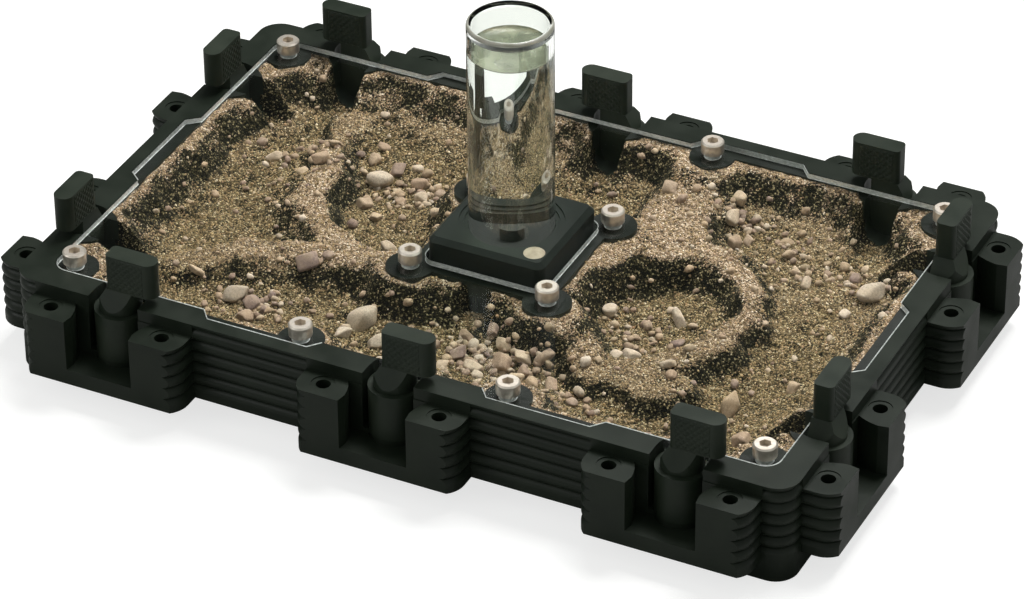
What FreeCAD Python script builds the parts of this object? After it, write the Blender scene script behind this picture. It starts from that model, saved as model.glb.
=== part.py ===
"""Ant habitat: a ribbed tray on a square connection grid, closed by a clear cover.

The tray holds a cast nest landscape with pebbles. Ten ports lead out of it, each closed by a
plug that lifts straight out. A pillar in the middle carries a magnet-held feeder block with an
inverted water vial. Millimetres, +Z up, origin on the ground under the middle of the habitat.
"""
import FreeCAD, Part
import math
import os

V = FreeCAD.Vector
UP = V(0, 0, 1)

# Connection grid
MODULE = 70.0                # distance between neighbouring ports, both ways
COLUMNS = 3                  # grid cells along X
ROWS = 2                     # grid cells along Y

# Levels of the tray
FOOT_HEIGHT = 5.0            # corner plinths, ground to underside
FLOOR_THICKNESS = 3.0
BODY_HEIGHT = 17.0           # underside to the ledge that carries the cover
COVER_THICKNESS = 3.0

# Tray walls
WALL_SETBACK = 8.0           # wall face behind the port faces
WALL_THICKNESS = 6.7
CORNER_RADIUS = 5.5
RIM_WIDTH = 3.5              # rim beside the cover's tabs
RIM_WIDTH_AT_PORTS = 6.5
RIDGE_PITCH = 3.0
RIDGE_DEPTH = 0.9
PLAIN_BAND = 3.5             # underside to the first groove
PLINTH_LENGTH = 24.0         # along each side of a corner
CAVITY_RADIUS = 4.0

# Port ears and pocket
EAR_HOLE_SPACING = 28.8
EAR_HOLE_SETBACK = 4.6       # hole axis behind the port face
EAR_HOLE_RADIUS = 1.7
EAR_RING_RADIUS = 2.8
EAR_RING_DEPTH = 0.25
EAR_RADIUS = 6.0             # round flank about the hole
POCKET_HALF_MOUTH = 8.4
POCKET_HALF_WAIST = 8.0
POCKET_HALF_BACK = 9.8
POCKET_WAIST_SETBACK = 2.5
POCKET_DEPTH = 7.8           # port face to the pocket's back wall
POCKET_FLOOR = 4.0           # thickness of the pocket's floor

# Port plug
PLUG_SETBACK = 11.6          # plug axis behind the port face
PLUG_RADIUS = 6.2
PLUG_GAP = 0.2               # around the plug
PLUG_SEAT = 5.4              # underside of the tray to the plug's seat
PLUG_FLAT = 2.5              # plug axis to its flat inner side
NECK_RADIUS = 4.9
NECK_HEIGHT = 5.4            # ledge to the grip's underside
NECK_SLOPE_TOP = 2.4         # sloped side's distance from the axis at the top
NECK_SLOPE_DROP = 4.7        # height over which the slope runs out to the neck's radius
GRIP_OVERHANG = 10.0         # axis to the grip's far end
GRIP_THICKNESS = 4.8
GRIP_HEIGHT = 9.0
GRIP_CORNER = 1.2            # rounding of the grip's near end
BOSS_WALL = 1.4              # tray wall around the plug bore
PASSAGE_WIDTH = 8.4
PASSAGE_SILL = 1.0           # plug seat to the passage's lowest line

# Cover
COVER_GAP = 0.1              # cover edge to rim
COVER_CORNER_RADIUS = 4.0
TAB_HALF_TOP = 12.7          # half length of a cover tab at its outer line
TAB_HALF_ROOT = 15.2
COVER_HOLE_RADIUS = 1.9
FEEDER_HOLE_GAP = 0.8        # feeder block to the edge of the square hole

# M3 socket head screws and their inserts
SCREW_RADIUS = 1.5
SCREW_LENGTH = 10.0
HEAD_RADIUS = 2.75
HEAD_HEIGHT = 3.0
HEAD_CHAMFER = 0.35
SOCKET_ACROSS_FLATS = 2.5
SOCKET_DEPTH = 1.4
INSERT_RADIUS = 2.1
INSERT_LENGTH = 5.0
INSERT_CLEARANCE = 0.02
SCREW_END_GAP = 1.0          # below the screw's tip
PAD_RADIUS = 5.5
CORNER_SCREW_INSET = 18.8    # from both port faces
SIDE_SCREW_INSET = 15.6      # from the port face
SIDE_SCREW_OFFSET = 9.1      # from the line between two grid cells, towards the middle

# Feeder pillar
PILLAR_WIDTH = 35.8
PILLAR_SCREW_PITCH = 34.8
LOBE_RADIUS = 5.7
PILLAR_FLOOR = 2.0
SPIGOT_RADIUS = 11.2
SPIGOT_LENGTH = 2.5
SPIGOT_GAP = 0.2
GRILLE_RADIUS = 2.5
GRILLE_THICKNESS = 1.5
GRILLE_HEIGHT = 5.5          # its centre below the ledge
GRILLE_SLOT = 0.35
GRILLE_PITCH = 0.8
GRILLE_RIM = 0.45
PAD_GAP = 0.3                # wick pad to what is around it
PAD_TONGUE_RADIUS = 1.9

# Feeder block and vial
BLOCK_WIDTH = 29.4
BLOCK_HEIGHT = 8.5
BLOCK_CORNER_RADIUS = 2.2
BLOCK_BEVEL = 1.2
RING_RADII = (12.25, 11.1)   # stepped recess around the vial
RING_STEP = 0.45
MAGNET_RADIUS = 2.5
MAGNET_X = 10.6
MAGNET_Y = -10.0
BLOCK_MAGNET_LENGTH = 8.0
PILLAR_MAGNET_LENGTH = 3.0
MAGNET_GAP = 0.02
VIAL_RADIUS = 10.0
VIAL_LENGTH = 62.0
VIAL_WALL = 1.1
VIAL_END = 2.4
VIAL_EDGE = 0.9
VIAL_GAP = 0.2
LIP_HEIGHT = 1.0             # stop ring under the vial, above the spigot's end
LIP_RADIUS = 8.2
STOPPER_LENGTH = 6.0
STOPPER_FLANGE = 1.0
STOPPER_GAP = 0.02
AIR_GAP = 6.3                # water level below the inside of the vial's end
WATER_GAP = 0.02
WICK_RADIUS = 2.0
WICK_RISE = 3.0              # above the stopper

# Nest landscape
SOIL_GAP = 0.3               # landscape to tray walls, pads and pillar
CREST_GAP = 0.6              # landscape's highest line below the cover
SOIL_DEPTH = 3.5             # tray floor to the lowest open ground
BANK_WIDTH = 13.0            # slope from a wall's crest to open ground
PILLAR_BANK = 9.0
CHANNEL_LENGTH = 9.0         # port passage continued through the bank
GRID_STEP = 4.5
PLAN_STEPS = 70              # steps of the landscape plan in one module; its places are in steps

# Ridges: x1, y1, x2, y2 on the plan, half width, rise over open ground
RIDGES = (
    (-60, 20, -55, 0, 6.5, 5.0),
    (-55, 0, -38, -10, 7.0, 4.5),
    (-74, -32, -54, -24, 5.5, 4.0),
    (-54, -24, -30, -17, 7.0, 5.0),
    (14, 27, 44, 26, 6.0, 6.5),
    (44, 26, 55, 6, 6.0, 5.0),
    (59, 2, 52, -16, 5.5, 5.5),
    (52, -28, 36, -33, 7.0, 6.5),
    (24, 50, 34, 32, 8.0, 7.0),
    (-20, 52, -14, 32, 7.0, 4.0),
)
# Hollows: x, y on the plan, half length, half width, depth below open ground
HOLLOWS = (
    (-58, -5, 4.0, 3.5, 2.5),
    (33, 14, 12.0, 9.0, 1.6),
    (8, -32, 22.0, 8.0, 1.0),
    (-48, -38, 14.0, 6.0, 1.2),
    (-40, 16, 10.0, 12.0, 1.0),
    (66, -22, 10.0, 9.0, 1.0),
    (46, 44, 10.0, 6.0, 1.2),
)
# Pebbles of each group: x, y on the plan, length, heading in degrees
PEBBLES = {
    "pebbles_centre": ((-46, 23, 6.4, 20), (-42, 27, 5.2, 75), (-38, 22, 4.6, 140),
                       (-49, 16, 4.2, 30), (-36, 30, 4.8, 10), (-41, 10, 4.0, 100)),
    "pebbles_left": ((-58, -35, 5.6, 15), (-53, -37, 5.0, 60), (-72, 25, 4.6, 90),
                     (-63, 31, 4.4, 20), (-51, -43, 5.4, 110)),
    "pebbles_front": ((-14, -40, 7.0, 40), (1, -34, 5.4, 80), (8, -38, 5.6, 10),
                      (-6, -31, 4.8, 0), (13, -30, 4.8, 130), (17, -40, 4.4, 25),
                      (-22, -36, 5.0, 65)),
    "pebbles_right": ((38, 2, 4.6, 30), (45, -7, 5.6, 0), (66, 26, 4.8, 75),
                      (76, -12, 5.0, 45), (74, -36, 6.4, 20)),
    "pebbles_back": ((78, 22, 7.4, 15), (72, 28, 4.6, 70), (40, 40, 4.4, 80),
                     (55, 38, 4.2, 35)),
}
PEBBLE_WIDTH_SHARE = 0.78    # width of a pebble over its length
PEBBLE_HEIGHT_SHARE = 0.62
PEBBLE_SINK_SHARE = 0.35     # part of its height that is set into the ground

# Levels and half sizes that follow
UNDERSIDE = FOOT_HEIGHT
FLOOR_TOP = UNDERSIDE + FLOOR_THICKNESS
LEDGE = UNDERSIDE + BODY_HEIGHT
RIM_TOP = LEDGE + COVER_THICKNESS
SEAT = UNDERSIDE + PLUG_SEAT
HALF_LENGTH = COLUMNS * MODULE / 2
HALF_WIDTH = ROWS * MODULE / 2
PLAN = MODULE / PLAN_STEPS
INSET = WALL_SETBACK + WALL_THICKNESS
BOSS_RADIUS = PLUG_RADIUS + PLUG_GAP + BOSS_WALL
GROUND = FLOOR_TOP + SOIL_DEPTH
CREST = LEDGE - CREST_GAP
BLOCK_TOP = LEDGE + BLOCK_HEIGHT
SPIGOT_END = LEDGE - SPIGOT_LENGTH
VIAL_MOUTH = SPIGOT_END + LIP_HEIGHT + STOPPER_FLANGE
VIAL_TOP = VIAL_MOUTH + VIAL_LENGTH
PAD_TOP = SPIGOT_END - PAD_GAP
BEYOND = 5.0                 # how far a cutting body runs past what it cuts


def grid_lines(cells):
    """Centre of each grid cell along one direction."""
    return [(i - (cells - 1) / 2) * MODULE for i in range(cells)]


def seams(cells):
    """Lines between neighbouring grid cells along one direction."""
    return [(i - cells / 2) * MODULE for i in range(1, cells)]


def port_list():
    """Name, turn about Z and face centre of every port."""
    along = {2: ("left", "right"), 3: ("left", "middle", "right")}
    across = {1: ("middle",), 2: ("front", "back"), 3: ("front", "middle", "back")}
    ports = []
    for x, word in zip(grid_lines(COLUMNS), along.get(COLUMNS, [str(i) for i in range(COLUMNS)])):
        ports.append(("front_" + word, 0, V(x, -HALF_WIDTH, 0)))
        ports.append(("back_" + word, 180, V(x, HALF_WIDTH, 0)))
    for y, word in zip(grid_lines(ROWS), across.get(ROWS, [str(i) for i in range(ROWS)])):
        ports.append(("right_" + word, 90, V(HALF_LENGTH, y, 0)))
        ports.append(("left_" + word, 270, V(-HALF_LENGTH, y, 0)))
    return ports


def at_port(shape, port):
    """Copy of a shape drawn at a port face (x along it, y inwards), set at the port."""
    name, turn, centre = port
    placed = shape.copy()
    placed.rotate(V(0, 0, 0), UP, turn)
    placed.translate(centre)
    return placed


def at_every_port(shape):
    return [at_port(shape, port) for port in port_list()]


def box(x0, x1, y0, y1, z0, z1):
    return Part.makeBox(x1 - x0, y1 - y0, z1 - z0, V(x0, y0, z0))


def rod(x, y, radius, z0, z1):
    return Part.makeCylinder(radius, z1 - z0, V(x, y, z0))


def rounded_box(half_x, half_y, radius, z0, z1):
    """Upright block with round vertical edges, centred on the Z axis."""
    block = box(-half_x, half_x, -half_y, half_y, z0, z1)
    upright = [e for e in block.Edges if abs(e.tangentAt(e.FirstParameter).z) > 0.99]
    return block.makeFillet(radius, upright)


def prism(points, z0, z1):
    """Upright prism over a closed outline of (x, y) points."""
    outline = Part.makePolygon([V(x, y, z0) for x, y in points + points[:1]])
    return Part.Face(outline).extrude(UP * (z1 - z0))


def ridged_profile(inner, outer, top):
    """Half section of a ribbed wall in the XZ plane: plain band, then stacked round ridges."""
    half = RIDGE_PITCH / 2
    bow = (half ** 2 + RIDGE_DEPTH ** 2) / (2 * RIDGE_DEPTH)
    lean = math.asin(half / bow) / 2
    near = outer - bow * (1 - math.cos(lean))
    rise = bow * math.sin(lean)
    valley = UNDERSIDE + PLAIN_BAND
    root = outer - RIDGE_DEPTH

    def arc(a, b, c):
        return Part.Arc(V(a[0], 0, a[1]), V(b[0], 0, b[1]), V(c[0], 0, c[1])).toShape()

    def line(a, b):
        return Part.makeLine(V(a[0], 0, a[1]), V(b[0], 0, b[1]))

    edges = [line((inner, top), (inner, UNDERSIDE)), line((inner, UNDERSIDE), (outer, UNDERSIDE))]
    edges.append(line((outer, UNDERSIDE), (outer, valley - half)))
    edges.append(arc((outer, valley - half), (near, valley - half + rise), (root, valley)))
    while valley + RIDGE_PITCH + half <= top + 1e-6:
        edges.append(arc((root, valley), (outer, valley + half), (root, valley + RIDGE_PITCH)))
        valley += RIDGE_PITCH
    edges.append(arc((root, valley), (near, valley + half - rise), (outer, valley + half)))
    if top - valley - half > 1e-6:
        edges.append(line((outer, valley + half), (outer, top)))
    edges.append(line((outer, top), (inner, top)))
    return Part.Face(Part.Wire(Part.__sortEdges__(edges)))


def ribbed_shell():
    """Block of the tray: plain core with ribbed faces and turned ribbed corners."""
    half_x = HALF_LENGTH - WALL_SETBACK
    half_y = HALF_WIDTH - WALL_SETBACK
    depth = CORNER_RADIUS
    pieces = [box(-half_x + depth, half_x - depth, -half_y + depth, half_y - depth, UNDERSIDE, RIM_TOP)]
    for half, run, turns in ((half_x, half_y - depth, (0, 180)), (half_y, half_x - depth, (90, 270))):
        face = ridged_profile(half - depth, half, RIM_TOP)
        face.translate(V(0, -run, 0))
        wall = face.extrude(V(0, 2 * run, 0))
        for turn in turns:
            copy = wall.copy()
            copy.rotate(V(0, 0, 0), UP, turn)
            pieces.append(copy)
    turned = ridged_profile(0, CORNER_RADIUS, RIM_TOP).revolve(V(0, 0, 0), UP, 90)
    for index, (sx, sy) in enumerate(((1, 1), (-1, 1), (-1, -1), (1, -1))):
        corner = turned.copy()
        corner.rotate(V(0, 0, 0), UP, 90 * index)
        corner.translate(V(sx * (half_x - depth), sy * (half_y - depth), 0))
        pieces.append(corner)
    return pieces


def ear_block():
    """Both ears of a port as one block, before its pocket and holes are cut."""
    reach = EAR_HOLE_SPACING / 2
    side = ridged_profile(0, reach + EAR_RADIUS, LEDGE)
    flank = side.extrude(V(0, INSET - EAR_HOLE_SETBACK, 0))
    flank.translate(V(0, EAR_HOLE_SETBACK, 0))
    nose = ridged_profile(0, EAR_RADIUS, LEDGE).revolve(V(0, 0, 0), UP, 360)
    nose.translate(V(reach, EAR_HOLE_SETBACK, 0))
    right = flank.fuse([nose, box(0, reach, 0, EAR_HOLE_SETBACK, UNDERSIDE, LEDGE)])
    left = right.mirror(V(0, 0, 0), V(1, 0, 0))
    wide = reach + EAR_RADIUS + BEYOND
    front = box(-wide, wide, 0, INSET, UNDERSIDE, LEDGE)
    return right.fuse(left).common(front)


def rim_block():
    """Plain top of the wall above a port's ears."""
    half = EAR_HOLE_SPACING / 2 + EAR_RADIUS
    return box(-half, half, WALL_SETBACK, WALL_SETBACK + RIM_WIDTH_AT_PORTS, LEDGE, RIM_TOP)


def plinths():
    """Smooth corner feet that follow the tray's outline."""
    half_x = HALF_LENGTH - WALL_SETBACK
    half_y = HALF_WIDTH - WALL_SETBACK
    foot = rounded_box(half_x, half_y, CORNER_RADIUS, 0, UNDERSIDE)
    corners = []
    for sx in (-1, 1):
        for sy in (-1, 1):
            x = sorted((sx * half_x, sx * (half_x - PLINTH_LENGTH)))
            y = sorted((sy * half_y, sy * (half_y - PLINTH_LENGTH)))
            corners.append(foot.common(box(x[0], x[1], y[0], y[1], 0, UNDERSIDE)))
    return corners


def cover_outline(gap, z0, z1):
    """Cover area grown by a gap: rounded rectangle with a tab between each two ports."""
    inset = WALL_SETBACK + RIM_WIDTH_AT_PORTS + COVER_GAP - gap
    outset = WALL_SETBACK + RIM_WIDTH + COVER_GAP - gap
    half_x = HALF_LENGTH - inset
    half_y = HALF_WIDTH - inset
    pieces = [rounded_box(half_x, half_y, COVER_CORNER_RADIUS, z0, z1)]
    top = TAB_HALF_TOP + gap
    root = TAB_HALF_ROOT + gap
    core = inset + CORNER_RADIUS
    for turns, face, lines in (((0, 180), HALF_WIDTH, seams(COLUMNS)), ((90, 270), HALF_LENGTH, seams(ROWS))):
        for middle in lines:
            tab = prism([(middle - root, inset - face), (middle - top, outset - face),
                         (middle + top, outset - face), (middle + root, inset - face),
                         (middle + root, core - face), (middle - root, core - face)], z0, z1)
            for turn in turns:
                copy = tab.copy()
                copy.rotate(V(0, 0, 0), UP, turn)
                pieces.append(copy)
    return pieces[0].fuse(pieces[1:]).removeSplitter()


def pocket():
    """Key-shaped pocket of a port, open at the face and the top."""
    z0 = UNDERSIDE + POCKET_FLOOR
    middle = (POCKET_WAIST_SETBACK + POCKET_DEPTH) / 2
    bulge = POCKET_HALF_WAIST + 0.3 * (POCKET_HALF_BACK - POCKET_HALF_WAIST)
    mouth = V(POCKET_HALF_MOUTH, 0, z0)
    waist = V(POCKET_HALF_WAIST, POCKET_WAIST_SETBACK, z0)
    back = V(POCKET_HALF_BACK, POCKET_DEPTH, z0)
    right = [Part.makeLine(V(0, -BEYOND, z0), V(POCKET_HALF_MOUTH, -BEYOND, z0)),
             Part.makeLine(V(POCKET_HALF_MOUTH, -BEYOND, z0), mouth),
             Part.makeLine(mouth, waist),
             Part.Arc(waist, V(bulge, middle, z0), back).toShape(),
             Part.makeLine(back, V(0, POCKET_DEPTH, z0)),
             Part.makeLine(V(0, POCKET_DEPTH, z0), V(0, -BEYOND, z0))]
    half = Part.Face(Part.Wire(right)).extrude(UP * (LEDGE + BEYOND - z0))
    return half.fuse(half.mirror(V(0, 0, 0), V(1, 0, 0)))


def plug_outline(gap, z0, z1):
    """Round plug body with a flat inner side, grown by a gap."""
    body = rod(0, PLUG_SETBACK, PLUG_RADIUS + gap, z0, z1)
    wide = PLUG_RADIUS + gap + BEYOND
    keep = box(-wide, wide, PLUG_SETBACK - wide, PLUG_SETBACK + PLUG_FLAT + gap, z0, z1)
    return body.common(keep)


def plug_slot():
    """Bore for the plug, open towards the pocket."""
    half = PLUG_RADIUS + PLUG_GAP
    bore = plug_outline(PLUG_GAP, SEAT, LEDGE)
    return bore.fuse([rod(0, PLUG_SETBACK, half, LEDGE, RIM_TOP + BEYOND),
                      box(-half, half, POCKET_DEPTH - BEYOND / 2, PLUG_SETBACK, SEAT, RIM_TOP + BEYOND)])


def passage(start, end):
    """U-shaped way from the plug into the nest, open at the top."""
    half = PASSAGE_WIDTH / 2
    axis = SEAT + PASSAGE_SILL + half
    tube = Part.makeCylinder(half, end - start, V(0, start, axis), V(0, 1, 0))
    return tube.fuse(box(-half, half, start, end, axis, LEDGE + BEYOND))


def cover_screw_places():
    """Corner screws, then side screws, as (x, y)."""
    x = HALF_LENGTH - CORNER_SCREW_INSET
    y = HALF_WIDTH - CORNER_SCREW_INSET
    corners = [(sx * x, sy * y) for sx in (-1, 1) for sy in (-1, 1)]
    side_y = HALF_WIDTH - SIDE_SCREW_INSET
    sides = []
    for seam in seams(COLUMNS):
        towards = -1 if seam > 0 else 1
        sides += [(seam + towards * SIDE_SCREW_OFFSET, sy * side_y) for sy in (-1, 1)]
    return corners, sides


def pillar_screw_places():
    half = PILLAR_SCREW_PITCH / 2
    return [(sx * half, sy * half) for sx in (-1, 1) for sy in (-1, 1)]


def insert_hole(x, y):
    """Stepped hole for a threaded insert with the screw's tip below it."""
    tip = RIM_TOP - SCREW_LENGTH - SCREW_END_GAP
    wide = rod(x, y, INSERT_RADIUS + INSERT_CLEARANCE, LEDGE - INSERT_LENGTH, LEDGE + BEYOND)
    return wide.fuse(rod(x, y, EAR_HOLE_RADIUS, min(tip, LEDGE - INSERT_LENGTH - SCREW_END_GAP), LEDGE))


def tray_frame():
    ears = at_every_port(ear_block().fuse(rim_block()))
    shell = ribbed_shell()
    body = shell[0].fuse(shell[1:] + ears + plinths())

    inner = rounded_box(HALF_LENGTH - INSET, HALF_WIDTH - INSET, CAVITY_RADIUS, FLOOR_TOP, LEDGE + BEYOND)
    recess = cover_outline(COVER_GAP, LEDGE, RIM_TOP + BEYOND)
    body = body.cut([inner, recess] + at_every_port(pocket()))

    corners, sides = cover_screw_places()
    pads = [rod(x, y, PAD_RADIUS, FLOOR_TOP, LEDGE) for x, y in corners + sides]
    boss = rod(0, PLUG_SETBACK, BOSS_RADIUS, UNDERSIDE, LEDGE)
    boss = boss.common(box(-BOSS_RADIUS, BOSS_RADIUS, PLUG_SETBACK, PLUG_SETBACK + BOSS_RADIUS, UNDERSIDE, LEDGE))
    sill = rod(0, PLUG_SETBACK, PLUG_RADIUS, UNDERSIDE, SEAT)
    body = body.fuse(pads + at_every_port(boss) + at_every_port(sill))

    reach = EAR_HOLE_SPACING / 2
    ear_holes = [rod(s * reach, EAR_HOLE_SETBACK, EAR_HOLE_RADIUS, 0, RIM_TOP) for s in (-1, 1)]
    rings = [rod(s * reach, EAR_HOLE_SETBACK, EAR_RING_RADIUS, LEDGE - EAR_RING_DEPTH, LEDGE + BEYOND)
             for s in (-1, 1)]
    way = passage(PLUG_SETBACK + PLUG_FLAT, PLUG_SETBACK + BOSS_RADIUS + BEYOND)
    port_cuts = []
    for cutter in ear_holes + rings + [plug_slot(), way]:
        port_cuts += at_every_port(cutter)
    holes = [insert_hole(x, y) for x, y in corners + sides]
    return body.cut(port_cuts + holes).removeSplitter()


def cover_plate():
    plate = cover_outline(0, LEDGE, RIM_TOP)
    corners, sides = cover_screw_places()
    holes = [rod(x, y, COVER_HOLE_RADIUS, LEDGE - 1, RIM_TOP + 1)
             for x, y in corners + sides + pillar_screw_places()]
    half = BLOCK_WIDTH / 2 + FEEDER_HOLE_GAP
    window = rounded_box(half, half, BLOCK_CORNER_RADIUS + FEEDER_HOLE_GAP, LEDGE - 1, RIM_TOP + 1)
    return plate.cut(holes + [window])


def screws(places):
    """Socket head screws with their heads on the cover."""
    head = rod(0, 0, HEAD_RADIUS, RIM_TOP, RIM_TOP + HEAD_HEIGHT)
    rim = [e for e in head.Edges if abs(e.BoundBox.ZMin - head.BoundBox.ZMax) < 1e-6]
    head = head.makeChamfer(HEAD_CHAMFER, rim)
    across = SOCKET_ACROSS_FLATS / math.sqrt(3)
    corners = [(across * math.cos(math.radians(60 * i)), across * math.sin(math.radians(60 * i)))
               for i in range(6)]
    socket = prism(corners, RIM_TOP + HEAD_HEIGHT - SOCKET_DEPTH, RIM_TOP + HEAD_HEIGHT + 1)
    screw = head.cut(socket).fuse(rod(0, 0, SCREW_RADIUS, RIM_TOP - SCREW_LENGTH, RIM_TOP))
    return copies(screw, places)


def inserts(places):
    """Threaded inserts, flush with the ledge that the cover lies on."""
    ring = rod(0, 0, INSERT_RADIUS, LEDGE - INSERT_LENGTH, LEDGE)
    bore = rod(0, 0, SCREW_RADIUS + INSERT_CLEARANCE, LEDGE - INSERT_LENGTH, LEDGE)
    return copies(ring.cut(bore), places)


def copies(shape, places):
    placed = []
    for x, y in places:
        copy = shape.copy()
        copy.translate(V(x, y, 0))
        placed.append(copy)
    return Part.makeCompound(placed)


def port_plug():
    """Plug of a port: D-shaped body, sloped neck and an offset grip."""
    body = plug_outline(0, SEAT, LEDGE)
    grip_floor = LEDGE + NECK_HEIGHT
    wide = NECK_RADIUS + BEYOND
    inner = PLUG_SETBACK + GRIP_THICKNESS / 2
    neck = rod(0, PLUG_SETBACK, NECK_RADIUS, LEDGE, grip_floor)
    neck = neck.common(box(-wide, wide, PLUG_SETBACK - wide, inner, LEDGE, grip_floor))
    foot = NECK_RADIUS + 0.1
    low = grip_floor - NECK_SLOPE_DROP
    slope = [V(0, PLUG_SETBACK - foot, low), V(0, PLUG_SETBACK - NECK_SLOPE_TOP, grip_floor),
             V(0, PLUG_SETBACK - foot, grip_floor)]
    wedge = Part.Face(Part.makePolygon(slope + slope[:1])).extrude(V(2 * wide, 0, 0))
    wedge.translate(V(-wide, 0, 0))
    side_wedge = wedge.copy()
    side_wedge.rotate(V(0, PLUG_SETBACK, 0), UP, -90)
    neck = neck.cut([wedge, side_wedge])
    return body.fuse([neck, grip()]).removeSplitter()


def grip():
    """Flat grip: round far end, softened near end, beginning over the neck."""
    z0 = LEDGE + NECK_HEIGHT
    half = GRIP_THICKNESS / 2
    near = -NECK_SLOPE_TOP
    blade = box(near, GRIP_OVERHANG - half, PLUG_SETBACK - half, PLUG_SETBACK + half, z0, z0 + GRIP_HEIGHT)
    corner = [e for e in blade.Edges
              if abs(e.tangentAt(e.FirstParameter).z) > 0.99 and abs(e.CenterOfMass.x - near) < 1e-6]
    blade = blade.makeFillet(GRIP_CORNER, corner)
    return blade.fuse(rod(GRIP_OVERHANG - half, PLUG_SETBACK, half, z0, z0 + GRIP_HEIGHT))


def pillar_outline(gap, z0, z1):
    """Square pillar with four round screw lobes, grown by a gap."""
    half = PILLAR_WIDTH / 2 + gap
    lobes = [rod(x, y, LOBE_RADIUS + gap, z0, z1) for x, y in pillar_screw_places()]
    return box(-half, half, -half, half, z0, z1).fuse(lobes)


def grille_seat(gap, thickness):
    """Round seat of the drinking grille in the pillar's front face."""
    height = LEDGE - GRILLE_HEIGHT
    return Part.makeCylinder(GRILLE_RADIUS + gap, thickness, V(0, -PILLAR_WIDTH / 2, height), V(0, 1, 0))


def feeder_pillar():
    pillar = pillar_outline(0, FLOOR_TOP, LEDGE)
    well = rod(0, 0, SPIGOT_RADIUS + SPIGOT_GAP, FLOOR_TOP + PILLAR_FLOOR, LEDGE + 1)
    magnet = rod(MAGNET_X, MAGNET_Y, MAGNET_RADIUS + MAGNET_GAP, LEDGE - PILLAR_MAGNET_LENGTH, LEDGE + 1)
    holes = [insert_hole(x, y) for x, y in pillar_screw_places()]
    return pillar.cut([well, magnet, grille_seat(MAGNET_GAP, PILLAR_WIDTH / 2)] + holes)


def drinking_grille():
    """Round insert with upright bars that ants drink through."""
    disc = grille_seat(0, GRILLE_THICKNESS)
    height = LEDGE - GRILLE_HEIGHT
    reach = GRILLE_RADIUS - GRILLE_RIM
    count = int(reach / GRILLE_PITCH)
    slots = []
    for i in range(-count, count + 1):
        x = i * GRILLE_PITCH
        tall = math.sqrt(reach ** 2 - x ** 2)
        slots.append(box(x - GRILLE_SLOT / 2, x + GRILLE_SLOT / 2, -PILLAR_WIDTH, 0, height - tall, height + tall))
    return disc.cut(slots)


def wick_pad():
    """Felt pad in the pillar, with a tongue that reaches the grille."""
    pad = rod(0, 0, SPIGOT_RADIUS + SPIGOT_GAP - PAD_GAP, FLOOR_TOP + PILLAR_FLOOR, PAD_TOP)
    start = GRILLE_THICKNESS - PILLAR_WIDTH / 2
    tongue = Part.makeCylinder(PAD_TONGUE_RADIUS, -start, V(0, start, LEDGE - GRILLE_HEIGHT), V(0, 1, 0))
    return pad.fuse(tongue)


def magnet(length, top):
    return rod(MAGNET_X, MAGNET_Y, MAGNET_RADIUS, top - length, top)


def feeder_block():
    """Bevelled block with a spigot, a stepped recess and the vial's seat."""
    half = BLOCK_WIDTH / 2
    block = rounded_box(half, half, BLOCK_CORNER_RADIUS, LEDGE, BLOCK_TOP)
    top_edges = [e for e in block.Edges if abs(e.BoundBox.ZMin - BLOCK_TOP) < 1e-6]
    block = block.makeChamfer(BLOCK_BEVEL, top_edges)
    block = block.fuse(rod(0, 0, SPIGOT_RADIUS, SPIGOT_END, LEDGE))
    steps = [rod(0, 0, radius, BLOCK_TOP - (i + 1) * RING_STEP, BLOCK_TOP + 1)
             for i, radius in enumerate(RING_RADII)]
    bore = rod(0, 0, VIAL_RADIUS + VIAL_GAP, SPIGOT_END + LIP_HEIGHT, BLOCK_TOP + 1)
    mouth = rod(0, 0, LIP_RADIUS, SPIGOT_END - 1, BLOCK_TOP)
    pit = rod(MAGNET_X, MAGNET_Y, MAGNET_RADIUS + MAGNET_GAP, BLOCK_TOP - BLOCK_MAGNET_LENGTH, BLOCK_TOP + 1)
    return block.cut(steps + [bore, mouth, pit])


def water_vial():
    """Inverted glass vial: open mouth below, thick flat end above."""
    glass = rod(0, 0, VIAL_RADIUS, VIAL_MOUTH, VIAL_TOP)
    rim = [e for e in glass.Edges if abs(e.BoundBox.ZMin - VIAL_TOP) < 1e-6]
    glass = glass.makeFillet(VIAL_EDGE, rim)
    return glass.cut(rod(0, 0, VIAL_RADIUS - VIAL_WALL, VIAL_MOUTH - 1, VIAL_TOP - VIAL_END))


def vial_stopper():
    """Rubber stopper in the vial's mouth, bored for the wick."""
    plug = rod(0, 0, VIAL_RADIUS - VIAL_WALL - STOPPER_GAP, VIAL_MOUTH, VIAL_MOUTH + STOPPER_LENGTH)
    flange = rod(0, 0, VIAL_RADIUS - STOPPER_GAP, VIAL_MOUTH - STOPPER_FLANGE, VIAL_MOUTH)
    top = VIAL_MOUTH + STOPPER_LENGTH
    return plug.fuse(flange).cut(rod(0, 0, WICK_RADIUS + STOPPER_GAP, VIAL_MOUTH - STOPPER_FLANGE, top))


def vial_wick():
    return rod(0, 0, WICK_RADIUS, PAD_TOP + PAD_GAP, VIAL_MOUTH + STOPPER_LENGTH + WICK_RISE)


def vial_water():
    base = VIAL_MOUTH + STOPPER_LENGTH
    water = rod(0, 0, VIAL_RADIUS - VIAL_WALL - WATER_GAP, base, VIAL_TOP - VIAL_END - AIR_GAP)
    return water.cut(rod(0, 0, WICK_RADIUS + WATER_GAP, base, base + WICK_RISE + WATER_GAP))


def smooth(t):
    """0 below 0, 1 above 1, an S-curve between."""
    t = min(max(t, 0.0), 1.0)
    return t * t * (3 - 2 * t)


def segment_distance(x, y, x1, y1, x2, y2):
    dx = x2 - x1
    dy = y2 - y1
    t = ((x - x1) * dx + (y - y1) * dy) / (dx * dx + dy * dy)
    t = min(max(t, 0.0), 1.0)
    return math.hypot(x - x1 - t * dx, y - y1 - t * dy)


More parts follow.
